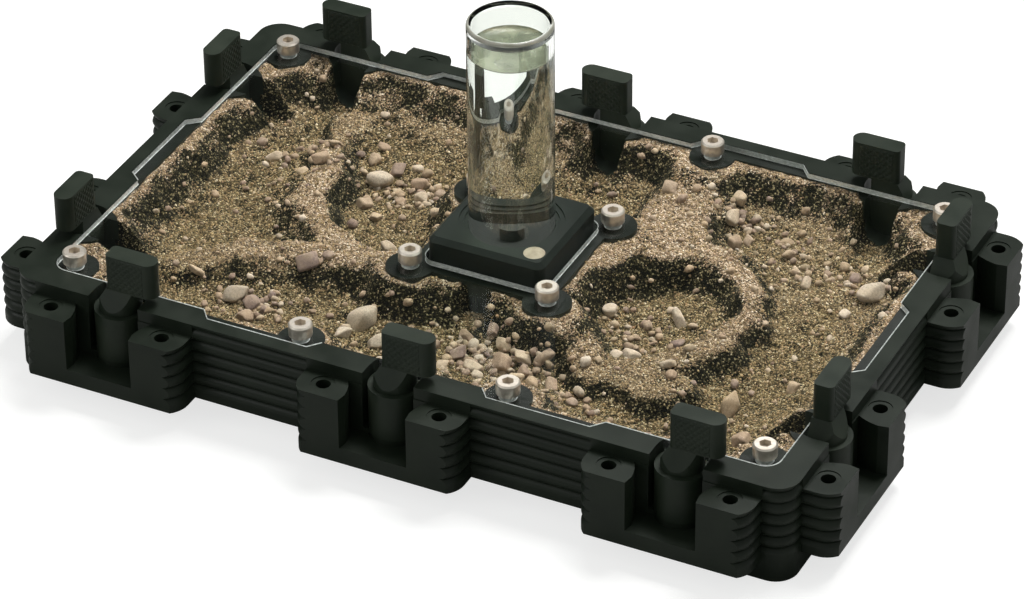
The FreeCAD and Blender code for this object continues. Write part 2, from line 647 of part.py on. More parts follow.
def ground_height(x, y):
    """Height of the landscape: banks at walls and pillar, ridges and hollows between."""
    level = GROUND
    for x1, y1, x2, y2, half, rise in RIDGES:
        away = segment_distance(x, y, PLAN * x1, PLAN * y1, PLAN * x2, PLAN * y2)
        level = max(level, GROUND + rise * math.exp(-(away / half) ** 2))
    for hx, hy, half_x, half_y, depth in HOLLOWS:
        level -= depth * math.exp(-((x - PLAN * hx) / half_x) ** 2 - ((y - PLAN * hy) / half_y) ** 2)
    to_wall = min(HALF_LENGTH - INSET - abs(x), HALF_WIDTH - INSET - abs(y))
    to_pillar = math.hypot(max(abs(x) - PILLAR_WIDTH / 2, 0), max(abs(y) - PILLAR_WIDTH / 2, 0))
    bank = max(1 - smooth(to_wall / BANK_WIDTH), 0.9 * (1 - smooth(to_pillar / PILLAR_BANK)))
    return level + (CREST - level) * bank


def landscape_top():
    """Smooth surface through the ground heights on an even grid."""
    half_x = HALF_LENGTH - WALL_SETBACK
    half_y = HALF_WIDTH - WALL_SETBACK
    count_x = math.ceil(2 * half_x / GRID_STEP)
    count_y = math.ceil(2 * half_y / GRID_STEP)
    rows = []
    for i in range(count_x + 1):
        x = -half_x + 2 * half_x * i / count_x
        rows.append([V(x, y, ground_height(x, y))
                     for y in (-half_y + 2 * half_y * j / count_y for j in range(count_y + 1))])
    surface = Part.BSplineSurface()
    surface.interpolate(rows)
    return surface.toShape()


def terrain_insert():
    drop = V(0, 0, -2 * RIM_TOP)
    below = landscape_top().extrude(drop)
    room = rounded_box(HALF_LENGTH - INSET - SOIL_GAP, HALF_WIDTH - INSET - SOIL_GAP,
                       CAVITY_RADIUS - SOIL_GAP, FLOOR_TOP, LEDGE)
    corners, sides = cover_screw_places()
    keep_out = [rod(x, y, PAD_RADIUS + SOIL_GAP, UNDERSIDE, RIM_TOP) for x, y in corners + sides]
    keep_out += at_every_port(rod(0, PLUG_SETBACK, BOSS_RADIUS + SOIL_GAP, UNDERSIDE, RIM_TOP))
    start = PLUG_SETBACK + PLUG_FLAT
    keep_out += at_every_port(passage(start, PLUG_SETBACK + BOSS_RADIUS + CHANNEL_LENGTH))
    keep_out.append(pillar_outline(SOIL_GAP, UNDERSIDE, RIM_TOP))
    mouth = LEDGE - GRILLE_HEIGHT
    reach = PILLAR_WIDTH / 2 + CHANNEL_LENGTH
    keep_out.append(Part.makeCone(GRILLE_RADIUS, PASSAGE_WIDTH, CHANNEL_LENGTH,
                                  V(0, -PILLAR_WIDTH / 2, mouth), V(0, -reach, LEDGE) - V(0, -PILLAR_WIDTH / 2, mouth)))
    return room.cut(keep_out).common(below)


def pebble(plan_x, plan_y, length, heading):
    """Ellipsoid stone set into the ground at a place on the plan."""
    x = PLAN * plan_x
    y = PLAN * plan_y
    half_x = length / 2
    half_y = half_x * PEBBLE_WIDTH_SHARE
    half_z = half_x * PEBBLE_HEIGHT_SHARE
    ball = Part.makeSphere(1.0)
    scale = FreeCAD.Matrix()
    scale.scale(half_x, half_y, half_z)
    stone = ball.transformGeometry(scale)
    stone.rotate(V(0, 0, 0), UP, heading)
    sink = 2 * half_z * PEBBLE_SINK_SHARE
    stone.translate(V(x, y, ground_height(x, y) + half_z - sink))
    return stone


def write(name, shape):
    shape.exportStep(os.path.join("parts", name + ".step"))
    print(name, len(shape.Solids), round(shape.Volume, 1))


os.makedirs("parts", exist_ok=True)
corner_places, side_places = cover_screw_places()
write("tray_frame", tray_frame())
write("cover_plate", cover_plate())
write("terrain_insert", terrain_insert())
for group, stones in PEBBLES.items():
    write(group, Part.makeCompound([pebble(*stone) for stone in stones]))
plug = port_plug()
for port in port_list():
    write("plug_" + port[0], at_port(plug, port))
write("corner_screws", screws(corner_places))
write("side_screws", screws(side_places))
write("pillar_screws", screws(pillar_screw_places()))
write("rim_inserts", inserts(corner_places + side_places))
write("pillar_inserts", inserts(pillar_screw_places()))
write("feeder_pillar", feeder_pillar())
write("pillar_magnet", magnet(PILLAR_MAGNET_LENGTH, LEDGE))
write("drinking_grille", drinking_grille())
write("wick_pad", wick_pad())
write("feeder_block", feeder_block())
write("block_magnet", magnet(BLOCK_MAGNET_LENGTH, BLOCK_TOP))
write("water_vial", water_vial())
write("vial_stopper", vial_stopper())
write("vial_wick", vial_wick())
write("vial_water", vial_water())
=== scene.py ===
import math
import bpy
import bmesh
import numpy as np
from mathutils import Matrix, Vector


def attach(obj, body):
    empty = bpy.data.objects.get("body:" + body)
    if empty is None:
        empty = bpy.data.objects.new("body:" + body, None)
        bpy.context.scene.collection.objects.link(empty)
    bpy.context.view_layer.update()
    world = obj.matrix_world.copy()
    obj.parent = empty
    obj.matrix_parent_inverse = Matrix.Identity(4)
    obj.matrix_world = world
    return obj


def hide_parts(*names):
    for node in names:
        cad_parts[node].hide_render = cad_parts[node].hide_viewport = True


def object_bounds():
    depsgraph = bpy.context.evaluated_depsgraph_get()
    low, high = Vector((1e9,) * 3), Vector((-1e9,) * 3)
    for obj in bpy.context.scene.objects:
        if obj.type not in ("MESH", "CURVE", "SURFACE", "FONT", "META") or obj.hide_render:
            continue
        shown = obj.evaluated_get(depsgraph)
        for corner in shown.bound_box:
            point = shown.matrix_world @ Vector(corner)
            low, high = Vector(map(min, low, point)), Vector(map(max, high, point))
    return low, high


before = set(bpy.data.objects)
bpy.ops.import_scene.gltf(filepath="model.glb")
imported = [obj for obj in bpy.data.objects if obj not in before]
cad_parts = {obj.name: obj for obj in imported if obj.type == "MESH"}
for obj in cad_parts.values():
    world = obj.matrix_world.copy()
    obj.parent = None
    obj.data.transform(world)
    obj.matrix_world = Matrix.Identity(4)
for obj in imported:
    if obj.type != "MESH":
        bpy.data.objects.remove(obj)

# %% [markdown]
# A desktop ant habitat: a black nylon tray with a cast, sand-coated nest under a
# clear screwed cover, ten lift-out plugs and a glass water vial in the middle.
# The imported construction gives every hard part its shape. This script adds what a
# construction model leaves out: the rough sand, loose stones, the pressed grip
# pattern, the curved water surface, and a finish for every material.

MM = 0.001
CAD_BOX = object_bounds()
HALF_LENGTH, HALF_WIDTH = (round(half / MM, 3) for half in CAD_BOX[1][:2])
MODULE = 70.0                # distance between neighbouring ports; all sizes are in mm
COVER_UNDERSIDE = 22.0


def span(box):
    """The two corners of a box in words, mm."""
    return "from %s to %s mm" % tuple([round(v / MM, 1) for v in corner] for corner in box)


print("packed parts", span(CAD_BOX))

# %% [markdown]
# Every finish below is written as nodes. A few helpers keep that short: a colour
# from its sRGB hex code, a node with its settings and links, the scale of a pattern
# from a size in millimetres, and how far a face looks up.

# %% Helpers for finishes
def rgb(code):
    """Linear colour of an sRGB hex code: c/12.92 up to 0.04045, else ((c+0.055)/1.055)^2.4."""
    parts = [int(code[i:i + 2], 16) / 255 for i in (1, 3, 5)]
    return tuple(c / 12.92 if c <= 0.04045 else ((c + 0.055) / 1.055) ** 2.4 for c in parts) + (1.0,)


def add(tree, kind, out=0, **given):
    """Shader node of a kind; gives its output, or the node itself where out is None.

    Of the names given, one with a capital is an input, i3 is the fourth input, stops are
    a ramp's pairs of place and hex code, and any other is a property. An input takes a
    value or another node's output.
    """
    node = tree.nodes.new(kind)
    for name, value in given.items():
        if name == "stops":
            band = node.color_ramp.elements
            while len(band) < len(value):
                band.new(0.5)
            for element, (place, code) in zip(band, value):
                element.position, element.color = place, rgb(code)
        elif name[0].isupper() or name[1:].isdigit():
            socket = node.inputs[int(name[1:]) if name[1:].isdigit() else name.replace("_", " ")]
            if isinstance(value, bpy.types.NodeSocket):
                tree.links.new(value, socket)
            else:
                socket.default_value = value
        else:
            setattr(node, name, value)
    return node if out is None else node.outputs[out]


def per(size_mm):
    """Scale of a pattern whose lumps or cells are size_mm across, as coordinates are in metres."""
    return 1000 / size_mm


def upness(tree, normal="Normal"):
    """How far a face looks up: 1 level, 0 upright, -1 downwards. True Normal leaves out smooth shading."""
    facing = add(tree, "ShaderNodeNewGeometry", normal)
    return add(tree, "ShaderNodeSeparateXYZ", "Z", Vector=facing)


def finish_named(name, slot):
    """Gives an empty material that knows its slot in the record, its tree and the Object coordinates."""
    material = bpy.data.materials.new(name)
    material.use_nodes = True
    material["slot"] = slot
    tree = material.node_tree
    tree.nodes.clear()
    return material, tree, add(tree, "ShaderNodeTexCoord", "Object")


print("helpers ready")

# %% [markdown]
# The tray, plugs, pillar and block are nylon powder parts dyed black. The grain of
# the powder leaves a satin skin: broad grey highlights along every rounded ridge and
# an even, slightly green black in between. Handling polishes it unevenly, so the
# roughness wanders. A part could be painted flat black, but then the ridges vanish.

# %% Black nylon
def black_nylon(name, slot, colour, worn, roughness):
    """Dyed nylon powder: 0.25 mm grain in the relief, 9 mm blotches in colour and gloss."""
    material, tree, place = finish_named(name, slot)
    blotch = add(tree, "ShaderNodeTexNoise", Vector=place, Scale=per(9), Detail=3)
    grain = add(tree, "ShaderNodeTexNoise", Vector=place, Scale=per(0.25), Detail=1)
    wear = add(tree, "ShaderNodeMapRange", i0=blotch, i1=0.35, i2=0.7)
    base = add(tree, "ShaderNodeMix", 2, data_type="RGBA", i0=wear, i6=rgb(colour), i7=rgb(worn))
    rough = add(tree, "ShaderNodeMapRange", i0=blotch, i1=0.3, i2=0.7, i3=roughness - 0.06,
                i4=roughness + 0.06)
    bump = add(tree, "ShaderNodeBump", Strength=0.25, Distance=0.08 * MM, Height=grain)
    bsdf = add(tree, "ShaderNodeBsdfPrincipled", Base_Color=base, Roughness=rough, Normal=bump,
               IOR=1.53, Specular_IOR_Level=0.22)
    add(tree, "ShaderNodeOutputMaterial", None, Surface=bsdf)
    return material


FRAME_NYLON = black_nylon("dyed_nylon_powder_frame", "frame_plastic", "#171E16", "#1F261D", 0.42)
PLUG_NYLON = black_nylon("dyed_nylon_powder_plugs", "plug_plastic", "#1E261D", "#2A3127", 0.46)
BLOCK_NYLON = black_nylon("dyed_nylon_powder_block", "block_plastic", "#161D17", "#1E251F", 0.5)
print("black nylon in three shades")

# %% [markdown]
# The nest is seen and lit through clear parts. Glass and acrylic bend what is behind
# them, but a path tracer's lamp samples can't pass through bent surfaces, so the soil
# below would sit in deep shade. For shadow rays alone the surface is see-through,
# which is close to how a thin clear sheet behaves.

# %% Clear sheet
def lamp_through(tree, bsdf, tint="#FFFFFF"):
    """Ends a clear material: the shader for what is seen, plain transparency for shadow rays."""
    shadow = add(tree, "ShaderNodeLightPath", "Is Shadow Ray")
    clear = add(tree, "ShaderNodeBsdfTransparent", Color=rgb(tint))
    both = add(tree, "ShaderNodeMixShader", i0=shadow, i1=bsdf, i2=clear)
    add(tree, "ShaderNodeOutputMaterial", None, Surface=both)


def sawn_acrylic():
    """Polished cast sheet with frost on its sawn sides and its broken edges.

    sawn = 1 where |up| is under 0.3, falling to 0 at 0.7, times 0.8 for a face seen from
    inside the sheet and 0.2 from outside. slanted = 1 where |up| is within 0.15 of 0.707.
    The frost is the larger one. The sheet's own gloss is held down, so that the nest
    shows without a veil.
    """
    material, tree, place = finish_named("cast_acrylic_sawn_edges", "clear_acrylic")
    wiped = add(tree, "ShaderNodeTexNoise", Vector=place, Scale=per(14), Detail=2)
    haze = add(tree, "ShaderNodeMapRange", i0=wiped, i1=0.5, i2=0.75, i3=0.0, i4=0.02)
    sheet = add(tree, "ShaderNodeBsdfPrincipled", Base_Color=rgb("#FDFEFD"), IOR=1.49, Roughness=haze,
                Specular_IOR_Level=0.05, Specular_Tint=rgb("#000000"), Transmission_Weight=1.0)
    saw = add(tree, "ShaderNodeTexNoise", Vector=place, Scale=per(0.8), Detail=2)
    pale = add(tree, "ShaderNodeValToRGB", i0=saw, stops=((0.3, "#A9AFAA"), (0.7, "#E6EAE6")))
    frost = add(tree, "ShaderNodeBsdfPrincipled", Base_Color=pale, Roughness=0.35, IOR=1.49)
    level = add(tree, "ShaderNodeMath", operation="ABSOLUTE", i0=upness(tree))
    upright = add(tree, "ShaderNodeMapRange", i0=level, i1=0.3, i2=0.7, i3=1.0, i4=0.0)
    inside = add(tree, "ShaderNodeNewGeometry", "Backfacing")
    share = add(tree, "ShaderNodeMapRange", i0=inside, i1=0.0, i2=1.0, i3=0.2, i4=0.8)
    sawn = add(tree, "ShaderNodeMath", operation="MULTIPLY", i0=upright, i1=share)
    slope = add(tree, "ShaderNodeMath", operation="ABSOLUTE", i0=upness(tree, "True Normal"))
    slanted = add(tree, "ShaderNodeMath", operation="COMPARE", i0=slope, i1=0.707, i2=0.15)
    frosted = add(tree, "ShaderNodeMath", operation="MAXIMUM", i0=sawn, i1=slanted)
    lamp_through(tree, add(tree, "ShaderNodeMixShader", i0=frosted, i1=sheet, i2=frost))
    return material


ACRYLIC = sawn_acrylic()
print("clear acrylic")

# %% [markdown]
# The vial is drawn soda-lime glass. Drawing leaves faint long waves, so the relief is
# stretched along the tube. Its round edges gather stray light, painted on as a pale
# coat. The pale look of still water's level top is a painted reflection. Both are a
# dull coat mixed in by the slope.

# %% Glass and water
def under_painted_light_coat(tree, share, body, drawn, low, high):
    """Body under a pale dull coat of painted light that counts for a share; low and high are the coat's two
    tones.
    """
    pale = add(tree, "ShaderNodeValToRGB", i0=drawn, stops=((0.3, low), (0.7, high)))
    dull = add(tree, "ShaderNodeBsdfPrincipled", Base_Color=pale, Roughness=0.3)
    return add(tree, "ShaderNodeMixShader", i0=share, i1=body, i2=dull)


def clear_solid(name, slot, ior, colour, painted_top_reflection=0.0, painted_edge_light=0.0):
    """Smooth clear body. film: share of a pale coat, a painted reflection, where up is over 0.9,
    from none at 0.5. painted_edge_light: share of a pale coat, painted light, where |up| is within 0.42 of
    0.55."""
    material, tree, place = finish_named(name, slot)
    long_way = add(tree, "ShaderNodeMapping", Vector=place, Scale=(1.0, 1.0, 0.12))
    drawn = add(tree, "ShaderNodeTexNoise", Vector=long_way, Scale=per(5), Detail=2)
    bump = add(tree, "ShaderNodeBump", Strength=0.06, Distance=0.2 * MM, Height=drawn)
    body = add(tree, "ShaderNodeBsdfPrincipled", Base_Color=rgb(colour), Roughness=0.0, IOR=ior,
               Transmission_Weight=1.0, Normal=bump)
    # painted reflection: a pale coat on the water's level top stands for what it mirrors
    if painted_top_reflection:
        share = add(tree, "ShaderNodeMapRange", i0=upness(tree), i1=0.5, i2=0.9, i3=0.0, i4=painted_top_reflection)
        body = under_painted_light_coat(tree, share, body, drawn, "#5E6450", "#A9AE96")
    # painted light: a pale coat on the glass's round edges stands for the stray light they gather
    if painted_edge_light:
        either = add(tree, "ShaderNodeMath", operation="ABSOLUTE", i0=upness(tree))
        slanted = add(tree, "ShaderNodeMath", operation="COMPARE", i0=either, i1=0.55, i2=0.42)
        share = add(tree, "ShaderNodeMapRange", i0=slanted, i1=0.0, i2=1.0, i3=0.0, i4=painted_edge_light)
        body = under_painted_light_coat(tree, share, body, drawn, "#9C9A88", "#C9C8BC")
    lamp_through(tree, body, colour)
    return material


GLASS = clear_solid("soda_lime_glass_drawn_tube", "vial_glass", 1.52, "#FAFCF9", painted_edge_light=0.6)
WATER = clear_solid("still_water", "water", 1.333, "#F9FCFA", painted_top_reflection=0.5)
print("glass and water")

# %% [markdown]
# The screws are turned stainless steel, the inserts knurled brass and the magnets
# nickel-plated. A metal's colour is its reflection, so the tint sits in the base
# colour and the default refraction index stays. Handling leaves the tint and gloss
# in blotches, 1.5 mm across here. The steel is dull enough to mirror no one thing.

# %% Metals
def metal(name, slot, light, dark, roughness, spread):
    """Metal whose tint and roughness wander over 1.5 mm."""
    material, tree, place = finish_named(name, slot)
    marks = add(tree, "ShaderNodeTexNoise", Vector=place, Scale=per(1.5), Detail=3)
    tint = add(tree, "ShaderNodeMapRange", i0=marks, i1=0.35, i2=0.65)
    base = add(tree, "ShaderNodeMix", 2, data_type="RGBA", i0=tint, i6=rgb(light), i7=rgb(dark))
    rough = add(tree, "ShaderNodeMapRange", i0=marks, i1=0.3, i2=0.7, i3=roughness - spread,
                i4=roughness + spread)
    bsdf = add(tree, "ShaderNodeBsdfPrincipled", Metallic=1.0, Base_Color=base, Roughness=rough)
    add(tree, "ShaderNodeOutputMaterial", None, Surface=bsdf)
    return material


STEEL = metal("turned_stainless_steel", "stainless", "#E8DFD3", "#D2C8BB", 0.44, 0.05)
BRASS = metal("knurled_brass", "brass_insert", "#D9B36A", "#B08A45", 0.3, 0.06)
NICKEL = metal("plated_nickel", "nickel", "#B9AC99", "#A79B89", 0.5, 0.05)
print("three metals")

# %% [markdown]
# Covered parts get their own finish too. The rubber stopper and the soaked cotton
# wick show through the glass; the felt pad stays hidden in the pillar.

# %% Rubber and cotton
def soft_stuff(name, slot, low, high, size_mm, roughness, relief_mm):
    """Matt stuff with a fine two-tone grain and relief of the same size."""
    material, tree, place = finish_named(name, slot)
    grain = add(tree, "ShaderNodeTexNoise", Vector=place, Scale=per(size_mm), Detail=3)
    bump = add(tree, "ShaderNodeBump", Strength=0.6, Distance=relief_mm * MM, Height=grain)
    base = add(tree, "ShaderNodeValToRGB", i0=grain, stops=((0.35, low), (0.65, high)))
    bsdf = add(tree, "ShaderNodeBsdfPrincipled", Roughness=roughness, Normal=bump, Base_Color=base)
    add(tree, "ShaderNodeOutputMaterial", None, Surface=bsdf)
    return material


RUBBER = soft_stuff("moulded_black_rubber", "rubber_black", "#090A09", "#101110", 0.6, 0.8, 0.03)
COTTON = soft_stuff("twisted_cotton", "cotton", "#BDB7A8", "#EAE6DA", 0.5, 0.95, 0.15)
WET_COTTON = soft_stuff("soaked_cotton_cord", "cotton", "#11120E", "#1E1F1A", 0.5, 0.7, 0.15)
print("rubber and cotton")

# %% [markdown]
# The nest is coated with quartz sand glued on dark clay. On level ground the grains
# lie close and look tan. On steep faces few grains hold, so the olive-black clay
# shows between single pale grains; this darkening of steep faces is partly painted
# shade. The share of grains follows the slope, and high ground has paler sand, partly
# its own tone and partly painted shade on the low ground. The gaps between grains
# are darkened as painted shade.

# %% Sand coating
# Low sand is darker and high sand paler: partly their own tones, partly painted shade on the low ground
LOW_SAND_TONE_AND_PAINTED_SHADE = ((0.0, "#231D10"), (0.3, "#52462C"), (0.6, "#776644"), (0.86, "#9D8963"), (0.97, "#CFC09C"))
HIGH_SAND_TONE_AND_PAINTED_LIGHT = ((0.0, "#43382A"), (0.35, "#8A745A"), (0.65, "#B1977A"), (0.88, "#CFB99C"), (0.97, "#EADCC6"))
CLAY_WITH_PAINTED_SHADE = ((0.0, "#090904"), (0.45, "#17160A"), (0.7, "#302C19"), (0.86, "#554D31"), (0.96, "#A19470"))


def sand_coat():
    """Grains as cells of 0.34 mm, each of them loose sand or bare clay.

    hold = up + 0.6 * noise of 6 mm + 0.06 * high + 0.3 * the cell's luck; high goes from
    0 at 13.5 mm to 1 at 18 mm. A cell is clay up to a hold of 1.29 and sand from 1.37.
    The clay on steep faces is partly painted shade. A cell's rim is darker, a painted
    shade between grains, and lower than its middle.
    """
    material, tree, place = finish_named("quartz_sand_on_dark_clay", "sand")
    shake = add(tree, "ShaderNodeTexNoise", "Color", Vector=place, Scale=1800.0, Detail=1.0)
    shaken = add(tree, "ShaderNodeVectorMath", operation="MULTIPLY_ADD", i0=shake, i1=(0.3 * MM,) * 3,
                 i2=place)
    cells = add(tree, "ShaderNodeTexVoronoi", None, Vector=shaken, Scale=per(0.34), Randomness=1.0)
    luck = add(tree, "ShaderNodeSeparateColor", None, i0=cells.outputs["Color"]).outputs
    drift = add(tree, "ShaderNodeTexNoise", Vector=place, Scale=per(6), Detail=4, Roughness=0.6)
    height = add(tree, "ShaderNodeSeparateXYZ", "Z", Vector=place)
    high = add(tree, "ShaderNodeMapRange", i0=height, i1=13.5 * MM, i2=18.0 * MM)
    hold = upness(tree)
    for source, weight in ((drift, 0.6), (high, 0.06), (luck[1], 0.3)):
        hold = add(tree, "ShaderNodeMath", operation="MULTIPLY_ADD", i0=source, i1=weight, i2=hold)
    # where up is low the coat turns to dark clay: partly bare clay, partly painted shade on steep faces
    held_sand_and_painted_slope_shade = add(tree, "ShaderNodeMapRange", i0=hold, i1=1.29, i2=1.37)
    low_sand_tone_and_shade, high_sand_tone_and_light, clay = (add(tree, "ShaderNodeValToRGB", i0=luck[0], stops=stops)
                                 for stops in (LOW_SAND_TONE_AND_PAINTED_SHADE, HIGH_SAND_TONE_AND_PAINTED_LIGHT, CLAY_WITH_PAINTED_SHADE))
    # darker sand on low ground, mixed in by height: partly painted shade
    loose = add(tree, "ShaderNodeMix", 2, data_type="RGBA", i0=high, i6=low_sand_tone_and_shade, i7=high_sand_tone_and_light)
    coat = add(tree, "ShaderNodeMix", 2, data_type="RGBA", i0=held_sand_and_painted_slope_shade, i6=clay, i7=loose)
    # painted shade between grains: each cell's rim is multiplied darker; the same value gives the grain's
    # relief
    grain_dome_and_painted_gap_shade = add(tree, "ShaderNodeMapRange", i0=cells.outputs["Distance"], i1=0.1, i2=0.6, i3=1.0, i4=0.45)
    grey = add(tree, "ShaderNodeCombineColor", i0=grain_dome_and_painted_gap_shade, i1=grain_dome_and_painted_gap_shade, i2=grain_dome_and_painted_gap_shade)
    coat = add(tree, "ShaderNodeMix", 2, data_type="RGBA", blend_type="MULTIPLY", i0=1.0, i6=coat, i7=grey)
    bump = add(tree, "ShaderNodeBump", Strength=0.8, Distance=0.25 * MM, Height=grain_dome_and_painted_gap_shade)
    bsdf = add(tree, "ShaderNodeBsdfPrincipled", Base_Color=coat, Roughness=0.85, Specular_IOR_Level=0.1,
               Normal=bump)
    add(tree, "ShaderNodeOutputMaterial", None, Surface=bsdf)
    return material


SAND = sand_coat()
print("sand coating")

# %% [markdown]
# The loose stones are river gravel: tan, grey-brown and a few pale ones. Each stone
# is one tint, so the tint comes from a random number that a whole stone shares. Fine
# mineral specks darken it, and dust lies on it in patches.

# %% Gravel stone
STONE_TINTS = ((0.0, "#97856C"), (0.2, "#877366"), (0.4, "#A08C72"), (0.55, "#7C6B64"), (0.7, "#A8967C"),
               (0.88, "#BDB2A2"), (1.0, "#84755C"))
GRAIN_TINTS = ((0.0, "#54462C"), (0.3, "#806C4A"), (0.55, "#9C8662"), (0.75, "#BAA57C"), (0.88, "#A07F62"),
               (0.96, "#E8DCC2"), (1.0, "#66573A"))


def river_stone(name, dust_mm, tints):
    """One tint for a whole stone, specks of 0.45 mm multiplied in, dust in patches of dust_mm; matt."""
    material, tree, place = finish_named(name, "pebble_stone")
    island = add(tree, "ShaderNodeNewGeometry", "Random Per Island")
    tint = add(tree, "ShaderNodeValToRGB", i0=island, stops=tints)
    speck = add(tree, "ShaderNodeTexNoise", Vector=place, Scale=per(0.45), Detail=3, Roughness=0.7)
    dust = add(tree, "ShaderNodeTexNoise", Vector=place, Scale=per(dust_mm), Detail=2)
    shade = add(tree, "ShaderNodeValToRGB", i0=speck,
                stops=((0.3, "#8A8078"), (0.5, "#E0D8D0"), (0.68, "#FFFFFF")))
    rock = add(tree, "ShaderNodeMix", 2, data_type="RGBA", blend_type="MULTIPLY", i0=0.6, i6=tint, i7=shade)
    dusty = add(tree, "ShaderNodeMapRange", i0=dust, i1=0.4, i2=0.7, i3=0.0, i4=0.35)
    base = add(tree, "ShaderNodeMix", 2, data_type="RGBA", i0=dusty, i6=rock, i7=rgb("#A08D70"))
    bump = add(tree, "ShaderNodeBump", Strength=0.5, Distance=0.15 * MM, Height=speck)
    bsdf = add(tree, "ShaderNodeBsdfPrincipled", Base_Color=base, Roughness=0.75, Specular_IOR_Level=0.25,
               Normal=bump)
    add(tree, "ShaderNodeOutputMaterial", None, Surface=bsdf)
    return material


STONE = river_stone("tumbled_river_gravel", 3.0, STONE_TINTS)
GRAIN = river_stone("loose_quartz_grains", 1.0, GRAIN_TINTS)
print("gravel and grains")

# %% [markdown]
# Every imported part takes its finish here, the covered ones too.

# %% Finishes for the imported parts
FINISH_OF = {
    "tray_frame": FRAME_NYLON, "feeder_pillar": FRAME_NYLON, "drinking_grille": BLOCK_NYLON,
    "feeder_block": BLOCK_NYLON, "cover_plate": ACRYLIC, "terrain_insert": SAND,
    "corner_screws": STEEL, "side_screws": STEEL, "pillar_screws": STEEL,
    "rim_inserts": BRASS, "pillar_inserts": BRASS, "pillar_magnet": NICKEL, "block_magnet": NICKEL,
    "wick_pad": COTTON, "vial_wick": WET_COTTON, "vial_stopper": RUBBER,
    "water_vial": GLASS, "vial_water": WATER,
}


def dress(thing, material):
    """Puts one material in every slot of an object."""
    if not thing.data.materials:
        thing.data.materials.append(material)
    for index in range(len(thing.data.materials)):
        thing.data.materials[index] = material


for name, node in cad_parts.items():
    kind = "plug_" if name.startswith("plug_") else "pebbles_" if name.startswith("pebbles_") else name
    dress(node, {"plug_": PLUG_NYLON, "pebbles_": STONE}.get(kind) or FINISH_OF[name])
print(len(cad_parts), "packed parts dressed")

# %% [markdown]
# A sawn sheet's sharp edges are broken, and that thin line catches the light. A bevel
# needs joined, clean faces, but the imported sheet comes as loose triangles. So its
# corners are welded, triangles of one plane are merged, and then every sharp edge is
# cut off by 0.2 mm. Weighting the normals by area keeps the big faces optically flat.

# %% Broken edges of the cover
def break_edges(cover, width_mm):
    """Weld, merge of coplanar triangles, bevel of edges over 60 degrees, area-weighted normals."""
    weld = cover.modifiers.new("joined_corners", "WELD")
    weld.merge_threshold = 0.001 * MM
    merged = cover.modifiers.new("merged_level_faces", "DECIMATE")
    merged.decimate_type, merged.angle_limit = "DISSOLVE", math.radians(0.5)
    chamfer = cover.modifiers.new("broken_edges", "BEVEL")
    chamfer.width, chamfer.segments = width_mm * MM, 1
    chamfer.limit_method, chamfer.angle_limit = "ANGLE", math.radians(60)
    chamfer.use_clamp_overlap = False
    cover.modifiers.new("level_faces", "WEIGHTED_NORMAL").weight = 100


break_edges(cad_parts["cover_plate"], 0.2)
print("cover edges broken")

# %% [markdown]
# New pieces are made from arrays of points in millimetres. One helper turns points
# and faces into a mesh in metres; smooth shading keeps the light soft, flat shading
# keeps small grains and pyramids crisp.

# %% Mesh from arrays
def linked(name, data):
    """Object for a mesh, lamp or camera, put in the scene."""
    thing = bpy.data.objects.new(name, data)
    bpy.context.scene.collection.objects.link(thing)
    return thing


def part_of(name, mesh, material, body):
    """Object with a finish, riding on a body."""
    thing = linked(name, mesh)
    dress(thing, material)
    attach(thing, body)
    return thing


def piece(name, points, faces, material, body="root", smooth=True):
    """Object with the given corner points (mm) and same-sized faces, riding on a body."""
    points = np.ascontiguousarray(points, dtype=np.float32).reshape(-1, 3) * MM
    faces = np.ascontiguousarray(faces, dtype=np.int32)
    count, sides = faces.shape
    mesh = bpy.data.meshes.new(name)
    mesh.vertices.add(len(points))
    mesh.vertices.foreach_set("co", points.ravel())
    mesh.loops.add(count * sides)
    mesh.loops.foreach_set("vertex_index", faces.ravel())
    mesh.polygons.add(count)
    mesh.polygons.foreach_set("loop_start", np.arange(0, count * sides, sides, dtype=np.int32))
    mesh.polygons.foreach_set("use_smooth", np.full(count, smooth))
    mesh.update(calc_edges=True)
    mesh.validate()
    return part_of(name, mesh, material, body)


print("mesh helpers ready")

# %% [markdown]
# The nest surface is one height over every place of a fine grid. Banks rise to the
# cover along the walls and around the pillar, ridges part the floor into chambers,
# and hollows dip below it. First come the plastic parts that the banks lean on.

# %% What the soil leans on
INNER_X, INNER_Y = 90.3, 55.3
PILLAR_HALF = 17.9
SIGNS = [(sx, sy) for sx in (-1, 1) for sy in (-1, 1)]
CORNER_SCREW, SIDE_SCREW, PAD_RADIUS = (86.2, 51.2), (25.9, 54.4), 5.5
SCREW_PADS = [(sx * x, sy * y) for x, y in (CORNER_SCREW, SIDE_SCREW) for sx, sy in SIGNS]
LOBE_PLACE, LOBE_RADIUS = 17.4, 5.7
LOBES = [(sx * LOBE_PLACE, sy * LOBE_PLACE) for sx, sy in SIGNS]
# Ports: centre of the face and turn in degrees
ACROSS = (("left", -MODULE), ("middle", 0.0), ("right", MODULE))
ALONG = (("front", -MODULE / 2), ("back", MODULE / 2))
PORTS = {"front_" + word: (x, -HALF_WIDTH, 0) for word, x in ACROSS}
PORTS.update({"back_" + word: (x, HALF_WIDTH, 180) for word, x in ACROSS})
PORTS.update({"right_" + word: (HALF_LENGTH, y, 90) for word, y in ALONG})
PORTS.update({"left_" + word: (-HALF_LENGTH, y, 270) for word, y in ALONG})
PLUG_SETBACK, BOSS_RADIUS = 11.6, 7.8


def inward(x, y, port):
    """Place seen from a port: u along its face, v inwards from the plug's axis."""
    px, py, turn = port
    c, s = math.cos(math.radians(turn)), math.sin(math.radians(turn))
    dx, dy = x - px, y - py
    return dx * c + dy * s, -dx * s + dy * c - PLUG_SETBACK


